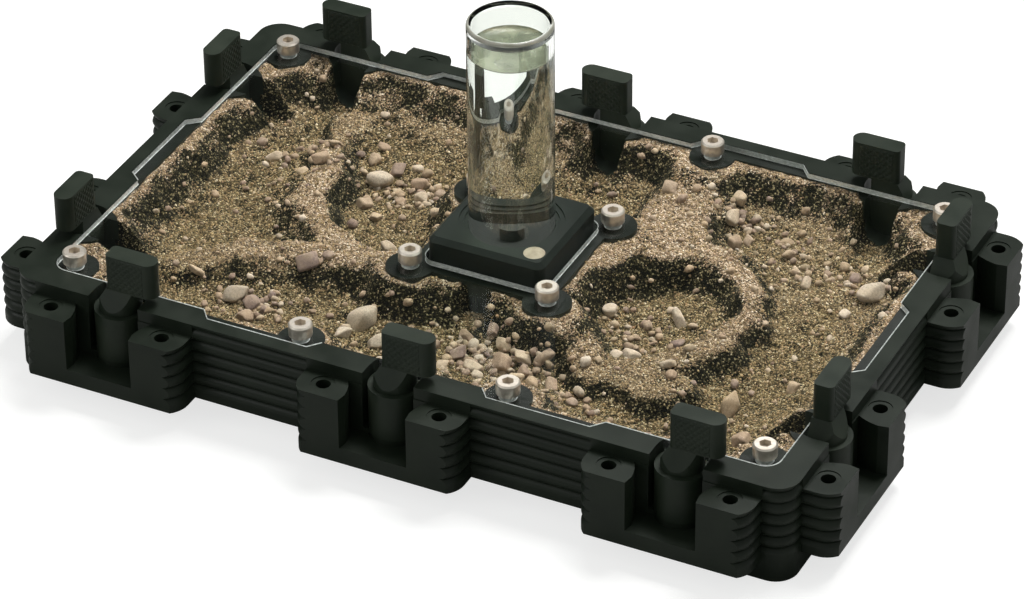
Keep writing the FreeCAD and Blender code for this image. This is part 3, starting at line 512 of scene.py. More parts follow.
def gap_to_rim(x, y):
    """Distance to the nearest wall, screw pad or plug boss, negative inside it."""
    gap = np.minimum(INNER_X - np.abs(x), INNER_Y - np.abs(y))
    for px, py in SCREW_PADS:
        gap = np.minimum(gap, np.hypot(x - px, y - py) - PAD_RADIUS)
    for port in PORTS.values():
        gap = np.minimum(gap, np.hypot(*inward(x, y, port)) - BOSS_RADIUS)
    return gap


def gap_to_lobes(x, y):
    """Distance to the nearest of the pillar's four round lobes, negative inside it."""
    return np.minimum.reduce([np.hypot(x - px, y - py) - LOBE_RADIUS for px, py in LOBES])


def open_ground(x, y, margin):
    """True where soil lies, outside walls, pads, bosses and pillar. A margin widens the ground into them."""
    beside = (np.abs(x) > PILLAR_HALF - margin) | (np.abs(y) > PILLAR_HALF - margin)
    return beside & (gap_to_rim(x, y) > -margin) & (gap_to_lobes(x, y) > -margin)


print(len(PORTS), "ports,", len(SCREW_PADS), "screw pads and", len(LOBES), "lobes")

# %% [markdown]
# The plan is a list of ridges and a list of swells, in round numbers. The cast clay
# was worked by hand, so the whole plan is bent a little by slow noise and roughened
# by finer noise.

# %% Plan of the nest
GROUND, CREST = 12.0, 21.4
# Ridge crests: x1, y1, x2, y2, height at both ends, half width of the flat top, slope width left and right
RIDGES = (
    (-64, 40, -61, 27, 15.0, 16.5, 1, 8, 5), (-61, 27, -55, 15, 16.5, 18.0, 1, 6, 10),
    (-55, 15, -53, 3, 18.0, 17.8, 1, 5, 16), (-53, 3, -46, -6, 17.8, 17.4, 1.5, 6, 9),
    (-46, -6, -34, -13, 17.4, 17.4, 2, 7, 8), (-70, -29, -58, -20, 14.6, 16.6, 1.5, 8, 8),
    (-58, -20, -47, -17, 16.6, 17.2, 2, 7, 9), (-47, -17, -34, -14, 17.2, 17.4, 2.5, 7, 9),
    (-34, -14, -24, -16, 17.4, 18.6, 2, 8, 7), (18, 3, 22, 10, 20.4, 20.2, 1, 5, 8),
    (22, 10, 29, 16, 20.2, 19.8, 1.5, 10, 8), (29, 16, 36, 20, 19.8, 19.5, 2, 12, 8),
    (36, 20, 43, 21, 19.5, 19.2, 2, 10, 8), (43, 21, 50, 17, 19.2, 18.8, 1.5, 7, 8),
    (50, 17, 57, 9, 18.8, 18.4, 1, 7, 8), (57, 9, 59, 3, 18.4, 18.0, 1, 7, 7),
    (59, 3, 56, -6, 18.0, 17.2, 1, 7, 7), (56, -6, 50, -15, 17.2, 16.0, 1, 7, 8),
    (50, -15, 46, -22, 16.0, 15.4, 1.5, 8, 8), (24, 50, 25, 42, 19.6, 17.6, 4, 9, 7),
    (25, 42, 26, 33, 17.6, 19.2, 5, 9, 7), (26, 33, 31, 24, 19.2, 19.5, 5, 9, 9),
    (20, -21, 29, -23, 18.0, 16.6, 1, 9, 5), (29, -23, 36, -28, 16.6, 15.4, 2, 8, 5),
    (36, -28, 51, -27, 15.4, 15.4, 4, 7, 5), (-20, 52, -15, 34, 19.0, 16.0, 2, 9, 9),
)
# Swells and hollows of the ground: x, y, half length, half width, change
SWELLS = (
    (66, 20, 24, 24, 2.2), (52, 38, 14, 10, 1.2), (-45, 44, 20, 9, 1.6), (-78, 32, 12, 14, 1.0),
    (-58, -5, 2.8, 2.6, -3.4), (33, -4, 12, 12, -0.9), (68, -20, 12, 9, -1.2), (8, -32, 22, 9, -0.5),
    (-48, -37, 18, 7, -0.8), (-42, 18, 9, 12, -0.8), (51, -39, 8, 4, -1.2), (-76, -2, 9, 12, -0.6),
    (70, 44, 6, 8, -2.2), (70, -44, 6, 8, -1.6), (-70, 44, 6, 8, -1.6), (-70, -44, 6, 8, -1.6),
)
BENDS = ((1.3, 10, 1, 3), (0.7, 4.5, 2, 4))                       # reach, cell, seed for x, seed for y
ROUGHNESS = ((0.4, 3.2, 7), (0.28, 1.6, 8), (0.18, 0.8, 9))       # height, cell, seed


def s_curve(t):
    """3t^2 - 2t^3 between 0 and 1."""
    t = np.clip(t, 0.0, 1.0)
    return t * t * (3 - 2 * t)


def lumps(x, y, cell, seed):
    """Random values at the corners of square cells, joined by S-curves; -1 to 1."""
    table = np.random.default_rng(seed).uniform(-1, 1, (128, 128))
    u, v = x / cell + 500.0, y / cell + 500.0
    i, j = np.floor(u).astype(int), np.floor(v).astype(int)
    fu, fv = s_curve(u - i), s_curve(v - j)
    a, b = table[i % 128, j % 128], table[(i + 1) % 128, j % 128]
    c, d = table[i % 128, (j + 1) % 128], table[(i + 1) % 128, (j + 1) % 128]
    return (a * (1 - fu) + b * fu) * (1 - fv) + (c * (1 - fu) + d * fu) * fv


def ridged_floor(x, y):
    """Ground plus a bell for each swell, exp(-(dx/a)^2 - (dy/b)^2), under the highest ridge.

    With s the S-curve of (distance - flat top) / slope width, and ss the S-curve of s,
    a ridge stands above the ground by its full height times 1 - (s + ss) / 2.
    """
    bx, by = x, y
    for reach, cell, seed_x, seed_y in BENDS:
        bx, by = bx + reach * lumps(x, y, cell, seed_x), by + reach * lumps(x, y, cell, seed_y)
    base = np.full_like(x, GROUND)
    for cx, cy, half_x, half_y, change in SWELLS:
        base = base + change * np.exp(-((bx - cx) / half_x) ** 2 - ((by - cy) / half_y) ** 2)
    level = base
    for x1, y1, x2, y2, z1, z2, core, left, right in RIDGES:
        dx, dy = x2 - x1, y2 - y1
        t = np.clip(((bx - x1) * dx + (by - y1) * dy) / (dx * dx + dy * dy), 0, 1)
        away = np.hypot(bx - x1 - t * dx, by - y1 - t * dy)
        width = np.where(dx * (by - y1) - dy * (bx - x1) > 0, left, right)
        side = s_curve((away - core) / width)
        level = np.maximum(level, base + (z1 + t * (z2 - z1) - base) * (1 - (side + s_curve(side)) / 2))
    return level


print(len(RIDGES), "ridge pieces and", len(SWELLS), "swells")

# %% [markdown]
# Banks lift the floor to the crest, steep next to the plastic and gentle further out.
# Then the ways for the ants are cut: a round channel behind each plug and a funnel
# that opens in front of the drinking grille.

# %% Height of the nest
CHANNEL_AXIS, CHANNEL_RADIUS = 15.6, 4.2
CHANNEL_END, CHANNEL_CLOSING, CHANNEL_LIFT = 19, 5, 8
FUNNEL_LENGTH, FUNNEL_AXIS, FUNNEL_RISE = 9.0, 16.5, 5.5
FUNNEL_RADIUS, FUNNEL_SPREAD = 2.5, 5.9
NEST_LOW, NEST_HIGH = 8.8, COVER_UNDERSIDE - 0.4


def bank_share(x, y):
    """Share of the way to the crest: S-curves that fall over 7.5 and 18 mm from the rim, and
    over 7 and 13 mm from the pillar; the larger of both sums."""
    edge = gap_to_rim(x, y) + 1.1 * lumps(x, y, 8, 5) + 0.7 * lumps(x, y, 3.5, 10) - 0.6
    square = np.hypot(np.maximum(np.abs(x) - PILLAR_HALF, 0), np.maximum(np.abs(y) - PILLAR_HALF, 0))
    pillar = np.minimum(square, gap_to_lobes(x, y)) + 0.9 * lumps(x, y, 7, 6) - 0.3
    rim_bank = 0.62 * (1 - s_curve(edge / 7.5)) + 0.38 * (1 - s_curve(edge / 18))
    return np.maximum(rim_bank, 0.66 * (1 - s_curve(pillar / 7)) + 0.3 * (1 - s_curve(pillar / 13)))


def carved(x, y, height):
    """Height lowered to axis - sqrt(radius^2 - across^2) in each channel, whose end closes by an
    S-curve, and in the funnel, whose axis rises and radius grows away from the pillar."""
    for port in PORTS.values():
        u, v = inward(x, y, port)
        channel = CHANNEL_AXIS - np.sqrt(np.maximum(CHANNEL_RADIUS ** 2 - u ** 2, 0))
        channel = channel + CHANNEL_LIFT * s_curve((v - CHANNEL_END + CHANNEL_CLOSING) / CHANNEL_CLOSING)
        within = (np.abs(u) < CHANNEL_RADIUS + 0.1) & (v > 0) & (v < CHANNEL_END)
        height = np.where(within, np.minimum(height, channel), height)
    run = np.clip((-PILLAR_HALF - y) / FUNNEL_LENGTH, 0, 1)
    radius = FUNNEL_RADIUS + FUNNEL_SPREAD * run
    funnel = FUNNEL_AXIS + FUNNEL_RISE * run - np.sqrt(np.maximum(radius ** 2 - x ** 2, 0))
    ahead = (y < -PILLAR_HALF + 1) & (y > -PILLAR_HALF - FUNNEL_LENGTH) & (np.abs(x) < radius)
    return np.where(ahead, np.minimum(height, funnel), height)


def nest_height(x, y):
    """Floor + (crest - floor) * bank share, plus fine roughness, then carved and kept in the tray."""
    floor = ridged_floor(x, y)
    height = floor + (CREST - floor) * bank_share(x, y)
    for rise, cell, seed in ROUGHNESS:
        height = height + rise * lumps(x, y, cell, seed)
    return np.clip(carved(x, y, height), NEST_LOW, NEST_HIGH)


print("nest height in a chamber", round(float(nest_height(np.array([33.0]), np.array([14.0]))[0]), 2), "mm")

# %% [markdown]
# The grid becomes a closed solid: a top skin, the same cells again at the tray floor
# and upright faces along every border. Its borders reach 0.5 mm into the plastic
# around it, which hides the steps of the grid.

# %% Nest insert
STEP = 0.66
NEST_BOTTOM = 8.02
INTO_PLASTIC = 0.5
# Neighbour across a border, and the two corners of the cell on that border
BORDERS = (((1, 0), (1, 0), (1, 1)), ((-1, 0), (0, 1), (0, 0)),
           ((0, 1), (1, 1), (0, 1)), ((0, -1), (0, 0), (1, 0)))


def nest_insert():
    """Quads of the grid cells that are open ground, on top and below, joined along the border."""
    nx, ny = int(2 * (INNER_X + 1) / STEP) + 1, int(2 * (INNER_Y + 1) / STEP) + 1
    line_x, line_y = (np.arange(nx) - (nx - 1) / 2) * STEP, (np.arange(ny) - (ny - 1) / 2) * STEP
    gx, gy = np.meshgrid(line_x, line_y, indexing="ij")
    top = np.stack([gx, gy, nest_height(gx, gy)], -1).reshape(-1, 3)
    low = np.stack([gx, gy, np.full_like(gx, NEST_BOTTOM)], -1).reshape(-1, 3)
    cx, cy = (gx[:-1, :-1] + gx[1:, 1:]) / 2, (gy[:-1, :-1] + gy[1:, 1:]) / 2
    keep = open_ground(cx, cy, INTO_PLASTIC)
    ids = np.arange(nx * ny).reshape(nx, ny)
    quads = np.stack([ids[:-1, :-1], ids[1:, :-1], ids[1:, 1:], ids[:-1, 1:]], -1)[keep]
    solid = np.zeros((nx + 1, ny + 1), bool)
    solid[1:-1, 1:-1] = keep
    shift = nx * ny
    walls = []
    for (di, dj), a, b in BORDERS:
        border = solid[1:-1, 1:-1] & ~solid[1 + di:nx + di, 1 + dj:ny + dj]
        i, j = np.nonzero(border)
        p, q = ids[i + a[0], j + a[1]], ids[i + b[0], j + b[1]]
        walls.append(np.stack([q, p, p + shift, q + shift], -1))
    faces = np.concatenate([quads, quads[:, ::-1] + shift] + walls)
    used, faces = np.unique(faces, return_inverse=True)
    return np.concatenate([top, low])[used], faces.reshape(-1, 4)


points, faces = nest_insert()
NEST = piece("sand_coated_nest", points, faces, SAND)
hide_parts("terrain_insert")
print("nest insert:", len(faces) * 2, "triangles")

# %% [markdown]
# A stone worn by water is a rounded block. The formula takes a handful of random
# flat cuts and blends them: the distance to the surface along a direction p is
# (sum of (p.n / d)^m)^(-1/m). A high m keeps the cuts crisp, a low one rounds them.

# %% Stones from blended flat cuts
CRISP, CUTS = 9, 7


def ball(level):
    """Corner directions and triangles of an icosphere."""
    build = bmesh.new()
    bmesh.ops.create_icosphere(build, subdivisions=level, radius=1.0)
    points = np.array([v.co[:] for v in build.verts])
    faces = np.array([[v.index for v in f.verts] for f in build.faces])
    build.free()
    return points, faces


def stones(places, halves, headings, level, seed):
    """Points and faces of many stones. places: centres; halves: half sizes along the three axes, mm.

    Each cut has its opposite one. The shape is stretched to its half sizes and turned
    about Z by its heading.
    """
    rng = np.random.default_rng(seed)
    dirs, tris = ball(level)
    count = len(places)
    normals = rng.normal(size=(count, CUTS, 3))
    normals /= np.linalg.norm(normals, axis=2, keepdims=True)
    normals = np.concatenate([normals, -normals], 1)
    reach = rng.uniform(0.72, 1.0, (count, 2 * CUTS, 1))
    facing = np.maximum(np.einsum("skc,vc->skv", normals, dirs), 0) / reach
    radius = (np.sum(facing ** CRISP, 1) + 1e-9) ** (-1 / CRISP)
    body = dirs[None] * radius[:, :, None]
    body /= np.abs(body).max(1, keepdims=True)
    body = body * halves[:, None, :]
    c, s = np.cos(np.radians(headings))[:, None], np.sin(np.radians(headings))[:, None]
    along, aside = body[..., 0] * c - body[..., 1] * s, body[..., 0] * s + body[..., 1] * c
    points = np.stack([along, aside, body[..., 2]], -1) + places[:, None, :]
    faces = tris[None] + (np.arange(count) * len(dirs))[:, None, None]
    return points.reshape(-1, 3), faces.reshape(-1, 3)


print("one ball of level 2 has", len(ball(2)[1]), "triangles")

# %% [markdown]
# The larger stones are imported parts. Each group is rebuilt here with worn shapes in
# place of the plain ones. They rest on the finer ground of this script, so a stone
# may lie up to 4 mm away from its plain one.

# %% Pebbles
# x, y, length, heading
PEBBLES = {
    "pebbles_centre": ((-47, 24, 6.4, 20), (-45, 29, 4.8, 75), (-35, 22, 4.4, 140), (-46, 14, 4.2, 30),
                       (-38, 27, 4.6, 10), (-41, 10, 3.6, 100)),
    "pebbles_left": ((-55, -33, 6.2, 15), (-50, -34, 4.8, 60), (-74, 21, 4.0, 90), (-61, 28, 4.0, 20),
                     (-48, -41, 4.8, 110)),
    "pebbles_front": ((-16, -37, 5.4, 40), (2, -32, 5.2, 80), (7, -35, 4.6, 10), (-6, -31, 4.0, 0),
                      (13, -32, 6.0, 130), (19, -37, 4.2, 25), (-24, -38, 4.4, 65)),
    "pebbles_right": ((42, 1, 5.6, 0), (45, -7, 3.8, 0), (63, 25, 3.8, 75), (76, -12, 3.8, 45),
                      (74, -36, 4.6, 20)),
    "pebbles_back": ((79, 26, 7.8, 60), (73, 31, 3.6, 70), (37, 41, 5.2, 80), (55, 34, 4.4, 35)),
}
SMOOTH_BALL = 4
for seed, (group, rows) in enumerate(PEBBLES.items(), 40):
    rows = np.array(rows, float)
    halves = rows[:, 2:3] / 2 * np.array([[1.0, 0.82, 0.78]])
    ground = nest_height(rows[:, 0], rows[:, 1])
    places = np.stack([rows[:, 0], rows[:, 1], ground + halves[:, 2] * 0.35], -1)
    points, faces = stones(places, halves, rows[:, 3], SMOOTH_BALL, seed)
    stone_group = piece(group + "_stones", points, faces, STONE)
    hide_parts(group)
print(sum(len(rows) for rows in PEBBLES.values()), "pebbles")

# %% [markdown]
# Small gravel lies where it rolled to: in the hollows and at the feet of the banks.
# The ones that catch the eye are placed singly, the rest is scattered in beds and,
# thinly, everywhere.

# %% Gravel
# x, y, length
GRAVEL = (
    (-23, -31, 7.4), (-43, -20, 5.8), (-31, -2, 4.6), (-52, 31, 4.6), (-60, 19, 4.6), (-66, -31, 4.1),
    (26, -2, 4.2), (66, -24, 6.8), (35, -19, 4.0), (49, -20, 4.0), (36, 48, 4.8), (21, 41, 5.0),
    (11, -27, 4.8), (22, -28, 4.4), (2, -40, 4.2), (27, -35, 4.2), (7, -24, 4.4), (17, -29, 3.8),
    (19, -33, 4.1), (23, -37, 4.0), (-47, -30, 2.3), (-25, -35, 2.6), (-39, -17, 3.0), (-52, 36, 3.2),
    (-44, 4, 3.0), (-79, 24, 3.0), (-63, 15, 3.0), (-79, 1, 2.3), (-76, 9, 1.6), (-82, -6, 2.0),
    (-84, -13, 1.8), (-57, 46, 2.5), (-75, 48, 2.3), (-41, 32, 3.0), (-38, 31, 3.0), (-39, 19, 3.0),
    (-33, 27, 3.2), (-31, 24, 3.0), (-32, 19, 3.0), (-41, 22, 3.0), (-26, 12, 3.0), (-35, 12, 2.5),
    (36, -3, 3.0), (38, 5, 2.3), (1, -26, 3.8), (4, -28, 3.0), (10, -38, 3.0), (28, -31, 2.3),
    (30, -30, 2.5), (34, -35, 3.0), (34, -39, 3.0), (32, -28, 3.2), (36, -13, 2.8), (38, -16, 3.8),
    (51, -23, 2.8), (51, -13, 3.0), (63, -15, 2.8), (-3, -23, 1.8), (5, -21, 2.0), (73, 36, 2.5),
    (68, 36, 3.3), (76, 17, 3.5), (87, 13, 2.8), (52, 39, 3.5), (57, 41, 2.5), (66, 45, 2.3),
    (26, 37, 3.0), (27, 43, 2.5), (38, 15, 2.5), (48, 16, 2.3), (43, 37, 3.8), (41, 34, 3.4),
    (9, 51, 2.0), (10, 53, 2.0), (12, 52, 2.0), (30, 45, 2.0), (23, 27, 2.0), (6, 41, 2.5),
)
# x, y, half length, half width, count
BEDS = ((8, -30, 17, 6, 150), (-40, 22, 9, 7, 60), (62, 30, 14, 9, 60), (-50, -35, 12, 5, 50),
        (36, -8, 12, 6, 40), (40, 42, 12, 5, 40), (-60, 24, 16, 8, 40), (20, -40, 26, 4, 50))
STRAYS = 320
LARGE_FROM = 3.3


def gravel_rows():
    """The placed stones, then random ones thicker in the middle of each bed, then strays."""
    rng = np.random.default_rng(11)
    rows = [np.array(GRAVEL, float)]
    for bx, by, half_x, half_y, count in BEDS:
        rows.append(np.stack([rng.normal(bx, half_x * 0.6, count), rng.normal(by, half_y * 0.6, count),
                              rng.uniform(1.0, 2.6, count)], -1))
    rows.append(np.stack([rng.uniform(-88, 88, STRAYS), rng.uniform(-53, 53, STRAYS),
                          rng.uniform(0.9, 1.9, STRAYS)], -1))
    rows = np.concatenate(rows)
    return rows[open_ground(rows[:, 0], rows[:, 1], -1.6)]


rows = gravel_rows()
rng = np.random.default_rng(12)
shares = [np.ones(len(rows)), rng.uniform(0.7, 0.98, len(rows)), rng.uniform(0.6, 0.9, len(rows))]
halves = rows[:, 2:3] / 2 * np.stack(shares, -1)
lifted = nest_height(rows[:, 0], rows[:, 1]) + halves[:, 2] * 0.4
places = np.stack([rows[:, 0], rows[:, 1], np.minimum(lifted, COVER_UNDERSIDE - 0.2 - halves[:, 2])], -1)
headings = rng.uniform(0, 360, len(rows))
large = rows[:, 2] > LARGE_FROM
for name, some, level, seed in (("loose_stones", large, SMOOTH_BALL, 14), ("loose_gravel", ~large, 2, 13)):
    points, faces = stones(places[some], halves[some], headings[some], level, seed)
    piece(name, points, faces, STONE)
print(int(large.sum()), "loose stones and", int((~large).sum()), "pieces of gravel")

# %% [markdown]
# Loose sand grains lie on top of the coat and give the sparkle: each one catches the
# light on its own small faces. Their sizes run from 0.28 to 1.1 mm around a median of
# 0.4 mm, before each is squeezed and roughened a little. Fewer lie on steep ground.

# %% Sand grains
GRAIN_LAYERS, GRAINS_TRIED, STEEP_SHARE = 3, 12500, 0.12
GRAIN_MEDIAN, GRAIN_SPREAD, GRAIN_LEAST, GRAIN_MOST = 0.4, 0.28, 0.28, 1.1
REACH = 0.8                  # half of the length over which the slope is measured


def turns(count, rng):
    """Random rotation matrices from unit quaternions."""
    q = rng.normal(size=(count, 4))
    w, x, y, z = (q / np.linalg.norm(q, axis=1, keepdims=True)).T
    return np.stack([1 - 2 * (y * y + z * z), 2 * (x * y - z * w), 2 * (x * z + y * w),
                     2 * (x * y + z * w), 1 - 2 * (x * x + z * z), 2 * (y * z - x * w),
                     2 * (x * z - y * w), 2 * (y * z + x * w), 1 - 2 * (x * x + y * y)], -1).reshape(-1, 3, 3)


def grain_places(count, seed, steep_share):
    """Random places on open ground; of those on steep ground only a share is kept."""
    rng = np.random.default_rng(seed)
    x, y = rng.uniform(-INNER_X, INNER_X, count), rng.uniform(-INNER_Y, INNER_Y, count)
    h = nest_height(x, y)
    rise_x = nest_height(x + REACH, y) - nest_height(x - REACH, y)
    rise_y = nest_height(x, y + REACH) - nest_height(x, y - REACH)
    slope = np.hypot(rise_x, rise_y) / (2 * REACH)
    keep = rng.random(count) < steep_share + (1 - steep_share) * (1 - s_curve((slope - 0.45) / 0.7))
    keep &= open_ground(x, y, -0.2)
    return np.stack([x, y, h], -1)[keep]


def grain_layer(index):
    """Points and faces of one layer: balls of twenty faces, squeezed, roughened and turned at random."""
    places = grain_places(GRAINS_TRIED, 20 + index, STEEP_SHARE)
    count = len(places)
    rng = np.random.default_rng(30 + index)
    size = np.clip(rng.lognormal(math.log(GRAIN_MEDIAN), GRAIN_SPREAD, count), GRAIN_LEAST, GRAIN_MOST)
    halves = size[:, None] / 2 * rng.uniform(0.75, 1.1, (count, 3))
    places[:, 2] = np.minimum(places[:, 2] + size * 0.12, COVER_UNDERSIDE - 0.15 - halves.max(1))
    dirs, tris = ball(1)
    turned_by = turns(count, rng)
    rough = dirs[None] * halves[:, None, :] * rng.uniform(0.85, 1.15, (count, len(dirs), 1))
    points = np.einsum("nij,nvj->nvi", turned_by, rough) + places[:, None, :]
    faces = tris[None] + (np.arange(count) * len(dirs))[:, None, None]
    return points, faces.reshape(-1, 3), count


for index in range(GRAIN_LAYERS):
    points, faces, count = grain_layer(index)
    piece("sand_grains_%d" % (index + 1), points, faces, GRAIN, smooth=False)
    print(count, "grains in layer", index + 1)

# %% [markdown]
# The flat sides of each grip are pressed with a diamond pattern so that a thumb
# doesn't slip. A thin plate of small pyramids lies on both sides of the blade. The
# plate is one height over a two-parameter grid, closed by a flat back that is sunk
# into the blade.

# %% Knurled plates of the grips
PLATE_FROM, PLATE_TO, PLATE_LOW, PLATE_TOP, PLATE_STEP = -1.0, 7.4, 27.8, 36.0, 0.2
KNURL_PITCH, KNURL_BASE, KNURL_DEPTH, KNURL_BORDER = 1.6, 0.06, 0.22, 0.3
BLADE_HALF, PLATE_BACK = 2.4, 2.2


def knurl_plate(side):
    """One face of a grip, seen from its port. side: -1 towards the port, 1 away from it.

    With a = (u + v) / pitch and b = (u - v) / pitch, tip = 1 - 2 * max(|a - round a|,
    |b - round b|). The rise is base + depth * tip and falls to 0 at the plate's border.
    """
    nu, nv = int((PLATE_TO - PLATE_FROM) / PLATE_STEP) + 1, int((PLATE_TOP - PLATE_LOW) / PLATE_STEP) + 1
    line_u, line_v = np.linspace(PLATE_FROM, PLATE_TO, nu), np.linspace(PLATE_LOW, PLATE_TOP, nv)
    u, v = np.meshgrid(line_u, line_v, indexing="ij")
    a, b = (u + v) / KNURL_PITCH, (u - v) / KNURL_PITCH
    tip = 1 - np.maximum(np.abs(a - np.round(a)), np.abs(b - np.round(b))) * 2
    edge = np.minimum(np.minimum(u - PLATE_FROM, PLATE_TO - u), np.minimum(v - PLATE_LOW, PLATE_TOP - v))
    rise = (KNURL_BASE + KNURL_DEPTH * tip) * np.clip(edge / KNURL_BORDER, 0, 1)
    out = PLUG_SETBACK + side * (BLADE_HALF + rise)
    back = np.full_like(u, PLUG_SETBACK + side * PLATE_BACK)
    front, rear = (np.stack([u, depth, v], -1).reshape(-1, 3) for depth in (out, back))
    ids = np.arange(nu * nv).reshape(nu, nv)
    quads = np.stack([ids[:-1, :-1], ids[1:, :-1], ids[1:, 1:], ids[:-1, 1:]], -1).reshape(-1, 4)
    ring = np.concatenate([ids[:, 0], ids[-1, 1:], ids[-2::-1, -1], ids[0, -2:0:-1]])
    wall = np.stack([ring, ring + nu * nv, np.roll(ring, -1) + nu * nv, np.roll(ring, -1)], -1)
    faces = np.concatenate([quads, quads[:, ::-1] + nu * nv, wall])
    return np.concatenate([front, rear]), faces if side < 0 else faces[:, ::-1]


def from_port(points, port):
    """Points drawn at a port face (x along it, y inwards), set at the port."""
    px, py, turn = port
    c, s = math.cos(math.radians(turn)), math.sin(math.radians(turn))
    x, y, z = points.T
    return np.stack([x * c - y * s + px, x * s + y * c + py, z], -1)


for port_name, port in PORTS.items():
    for side, word in ((-1, "outer"), (1, "inner")):
        points, faces = knurl_plate(side)
        piece("knurl_%s_%s" % (port_name, word), from_port(points, port), faces, PLUG_NYLON,
              body="plug_" + port_name, smooth=False)
print("knurled plates on", len(PORTS), "grips")

# %% [markdown]
# Water climbs the glass where it touches it. The body of water is a profile turned
# about the vial's axis: a flat bottom, a straight side that reaches 0.04 mm into the
# glass so that no film of air shows between them, and a surface that rises by
# exp(-distance / 1.1 mm) towards the wall.

# %% Water with its meniscus
WATER_RADIUS, WATER_LOW, WATER_HIGH, CLIMB = 8.94, 27.3, 74.8, 1.1


def turned(profile, count=96):
    """Points and quads of a profile (radius, height) turned about Z; both ends lie on the axis.

    The triangles at the ends repeat their last corner.
    """
    profile = np.array(profile, float)
    inner = profile[1:-1]
    n = len(inner)
    angle = np.arange(count) * 2 * math.pi / count
    rings = np.stack([inner[:, None, 0] * np.cos(angle), inner[:, None, 0] * np.sin(angle),
                      np.repeat(inner[:, None, 1], count, 1)], -1).reshape(-1, 3)
    ids = np.arange(n * count).reshape(n, count)
    nxt = np.roll(ids, -1, 1)
    side = np.stack([ids[:-1], nxt[:-1], nxt[1:], ids[1:]], -1).reshape(-1, 4)
    ends = np.stack([[0, 0, profile[0, 1]], [0, 0, profile[-1, 1]]])
    first, last = np.full(count, n * count), np.full(count, n * count + 1)
    tris = np.concatenate([np.stack([first, nxt[0], ids[0]], -1), np.stack([last, ids[-1], nxt[-1]], -1)])
    quads = np.concatenate([side, np.concatenate([tris, tris[:, 2:]], 1)])
    return np.concatenate([rings, ends]), quads


def solid_of_turning(name, profile, material, body):
    """Object of a turned profile, built from polygons of three and four corners."""
    points, quads = turned(profile)
    mesh = bpy.data.meshes.new(name)
    mesh.from_pydata((points * MM).tolist(), [], [list(dict.fromkeys(f)) for f in quads.tolist()])
    mesh.polygons.foreach_set("use_smooth", np.full(len(mesh.polygons), True))
    return part_of(name, mesh, material, body)


bottom_line = [(0, WATER_LOW), (1.0, WATER_LOW), (8.3, WATER_LOW), (8.6, WATER_LOW), (8.9, 27.32)]
wall_line = [(WATER_RADIUS, z) for z in (27.4, 27.5, 27.6, 40.0, 60.0, 75.6, 75.8)]
surface_line = [(r, WATER_HIGH + CLIMB * math.exp(-(WATER_RADIUS - r) / CLIMB))
                for r in (WATER_RADIUS, 8.9, 8.7, 8.4, 8.0, 7.4, 6.6, 5.0, 3.0, 1.0)]
profile = bottom_line + wall_line + surface_line + [(0, WATER_HIGH)]
water = solid_of_turning("water_with_meniscus", profile, WATER, "vial")
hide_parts("vial_water")
print("water surface rises from", WATER_HIGH, "to", round(surface_line[0][1], 2), "mm at the glass")

# %% [markdown]
# The camera looks down from the front right onto a pale floor. It stands more than a
# metre away behind a long lens, so the tray's parallel edges stay nearly parallel.

# %% Camera
AZIMUTH, ELEVATION, ROLL = (math.radians(angle) for angle in (26.602, 34.359, -0.526))
AIM, DISTANCE, FOCAL_LENGTH = (12.709, -25.718, 28.0), 1112.18, 173.96


def camera():
    """Camera at aim + distance * back, with its axes turned by the roll about the line of sight."""
    sin_az, cos_az, sin_el, cos_el = (f(a) for a in (AZIMUTH, ELEVATION) for f in (math.sin, math.cos))
    back = Vector((sin_az * cos_el, -cos_az * cos_el, sin_el))
    right = Vector((cos_az, sin_az, 0))
    up = Vector((-sin_az * sin_el, cos_az * sin_el, cos_el))
    across = right * math.cos(ROLL) + up * math.sin(ROLL)
    upright = up * math.cos(ROLL) - right * math.sin(ROLL)
    lens = bpy.data.cameras.new("camera")
    lens.lens, lens.sensor_width, lens.clip_start, lens.clip_end = FOCAL_LENGTH, 36.0, 0.05, 20.0
    eye = linked("camera", lens)
    turn = Matrix((across, upright, back)).transposed().to_4x4()
    eye.matrix_world = Matrix.Translation(Vector(AIM) * MM + back * (DISTANCE * MM)) @ turn
    bpy.context.scene.camera = eye


camera()
print("camera at", [round(v, 3) for v in bpy.context.scene.camera.location])

# %% [markdown]
# Studio light: one wide soft lamp high up and a little to the back, and a weaker one
# from the left front. The surroundings are a dim dome with a dark flag in the direction that the level cover
# mirrors to the camera. What is seen straight through a clear part is white instead,
# so that the vial stands against white: such a ray has passed a clear surface and
# has met no matt or glossy one.

# %% Light
FLAG = (-0.37, 0.74, 0.56)


def lamp(name, place, target, size, power):
    """Rectangular lamp at a place, turned to a target."""
    data = bpy.data.lights.new(name, "AREA")
    data.shape, data.size, data.size_y, data.energy = "RECTANGLE", size[0], size[1], power
    thing = linked(name, data)
    thing.location = place
    thing.rotation_euler = (Vector(target) - Vector(place)).to_track_quat("-Z", "Y").to_euler()


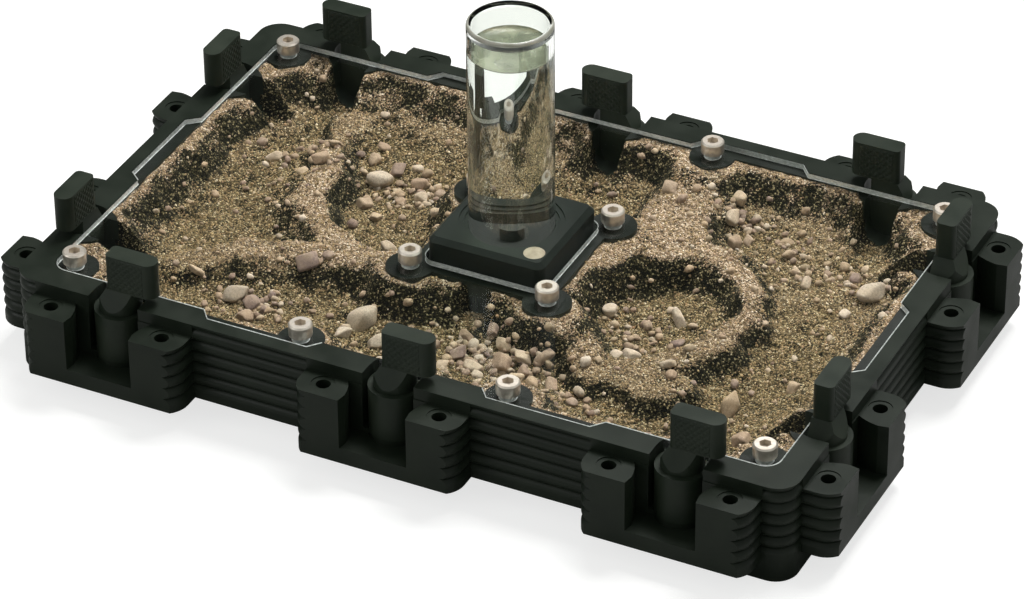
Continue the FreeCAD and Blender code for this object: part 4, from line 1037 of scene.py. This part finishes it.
def studio():
    """World: white * clear + dome * (1 - clear), clear = passed a clear surface and no other bounce."""
    world = bpy.data.worlds.new("studio")
    bpy.context.scene.world = world
    world.use_nodes = True
    tree = world.node_tree
    tree.nodes.clear()
    towards = add(tree, "ShaderNodeTexCoord", "Generated")
    flag = add(tree, "ShaderNodeVectorMath", "Value", operation="DOT_PRODUCT", i0=towards, i1=FLAG)
    dark = add(tree, "ShaderNodeMapRange", i0=flag, i1=0.8, i2=0.98)
    tone = add(tree, "ShaderNodeValToRGB", i0=dark, stops=((0.0, "#D8DCD8"), (1.0, "#5A5E5A")))
    dome = add(tree, "ShaderNodeBackground", Color=tone, Strength=0.5)
    white = add(tree, "ShaderNodeBackground", Color=rgb("#F4F6F4"), Strength=1.0)
    path = add(tree, "ShaderNodeLightPath", None).outputs
    glassy = add(tree, "ShaderNodeMapRange", i0=path["Transmission Depth"], i1=0.0, i2=1.0)
    bounced = add(tree, "ShaderNodeMath", operation="ADD", i0=path["Diffuse Depth"], i1=path["Glossy Depth"])
    straight = add(tree, "ShaderNodeMapRange", i0=bounced, i1=0.0, i2=1.0, i3=1.0, i4=0.0)
    clear = add(tree, "ShaderNodeMath", operation="MULTIPLY", i0=glassy, i1=straight)
    around = add(tree, "ShaderNodeMixShader", i0=clear, i1=dome, i2=white)
    add(tree, "ShaderNodeOutputWorld", None, Surface=around)


lamp("overhead", (0.05, 0.36, 0.95), (0, 0, 0), (0.55, 0.42), 10.7)
lamp("front_left", (-0.8, -0.8, 0.6), (0, 0, 0.02), (0.6, 0.5), 2.5)
studio()
print("two lamps and a dome")

# %% [markdown]
# The floor is matt and takes the object's soft shadow. Where it is looked at, it also
# glows, which makes it white without more light on the object.

# %% Floor
def pale_floor(half_m, drop_mm):
    """Square floor just below the part. Its glow counts only for rays from the eye, also through glass."""
    material, tree, _ = finish_named("matt_white_floor", "floor")
    matt = add(tree, "ShaderNodeBsdfPrincipled", Base_Color=rgb("#A9A9A7"), Roughness=0.9)
    glow = add(tree, "ShaderNodeEmission", Color=rgb("#FFFFFF"), Strength=0.72)
    path = add(tree, "ShaderNodeLightPath", None).outputs
    seen = add(tree, "ShaderNodeMath", operation="MAXIMUM", i0=path["Is Camera Ray"],
               i1=path["Is Transmission Ray"])
    lift = add(tree, "ShaderNodeMixShader", i0=seen, i2=glow)
    both = add(tree, "ShaderNodeAddShader", i0=matt, i1=lift)
    add(tree, "ShaderNodeOutputMaterial", None, Surface=both)
    mesh = bpy.data.meshes.new("floor")
    mesh.from_pydata([(x * half_m, y * half_m, 0) for x, y in ((-1, -1), (1, -1), (1, 1), (-1, 1))], [],
                     [(0, 1, 2, 3)])
    floor = linked("floor", mesh)
    mesh.materials.append(material)
    floor.location.z = -drop_mm * MM


pale_floor(8, 0.2)
bpy.context.scene.view_settings.view_transform = "Standard"
print("floor laid")
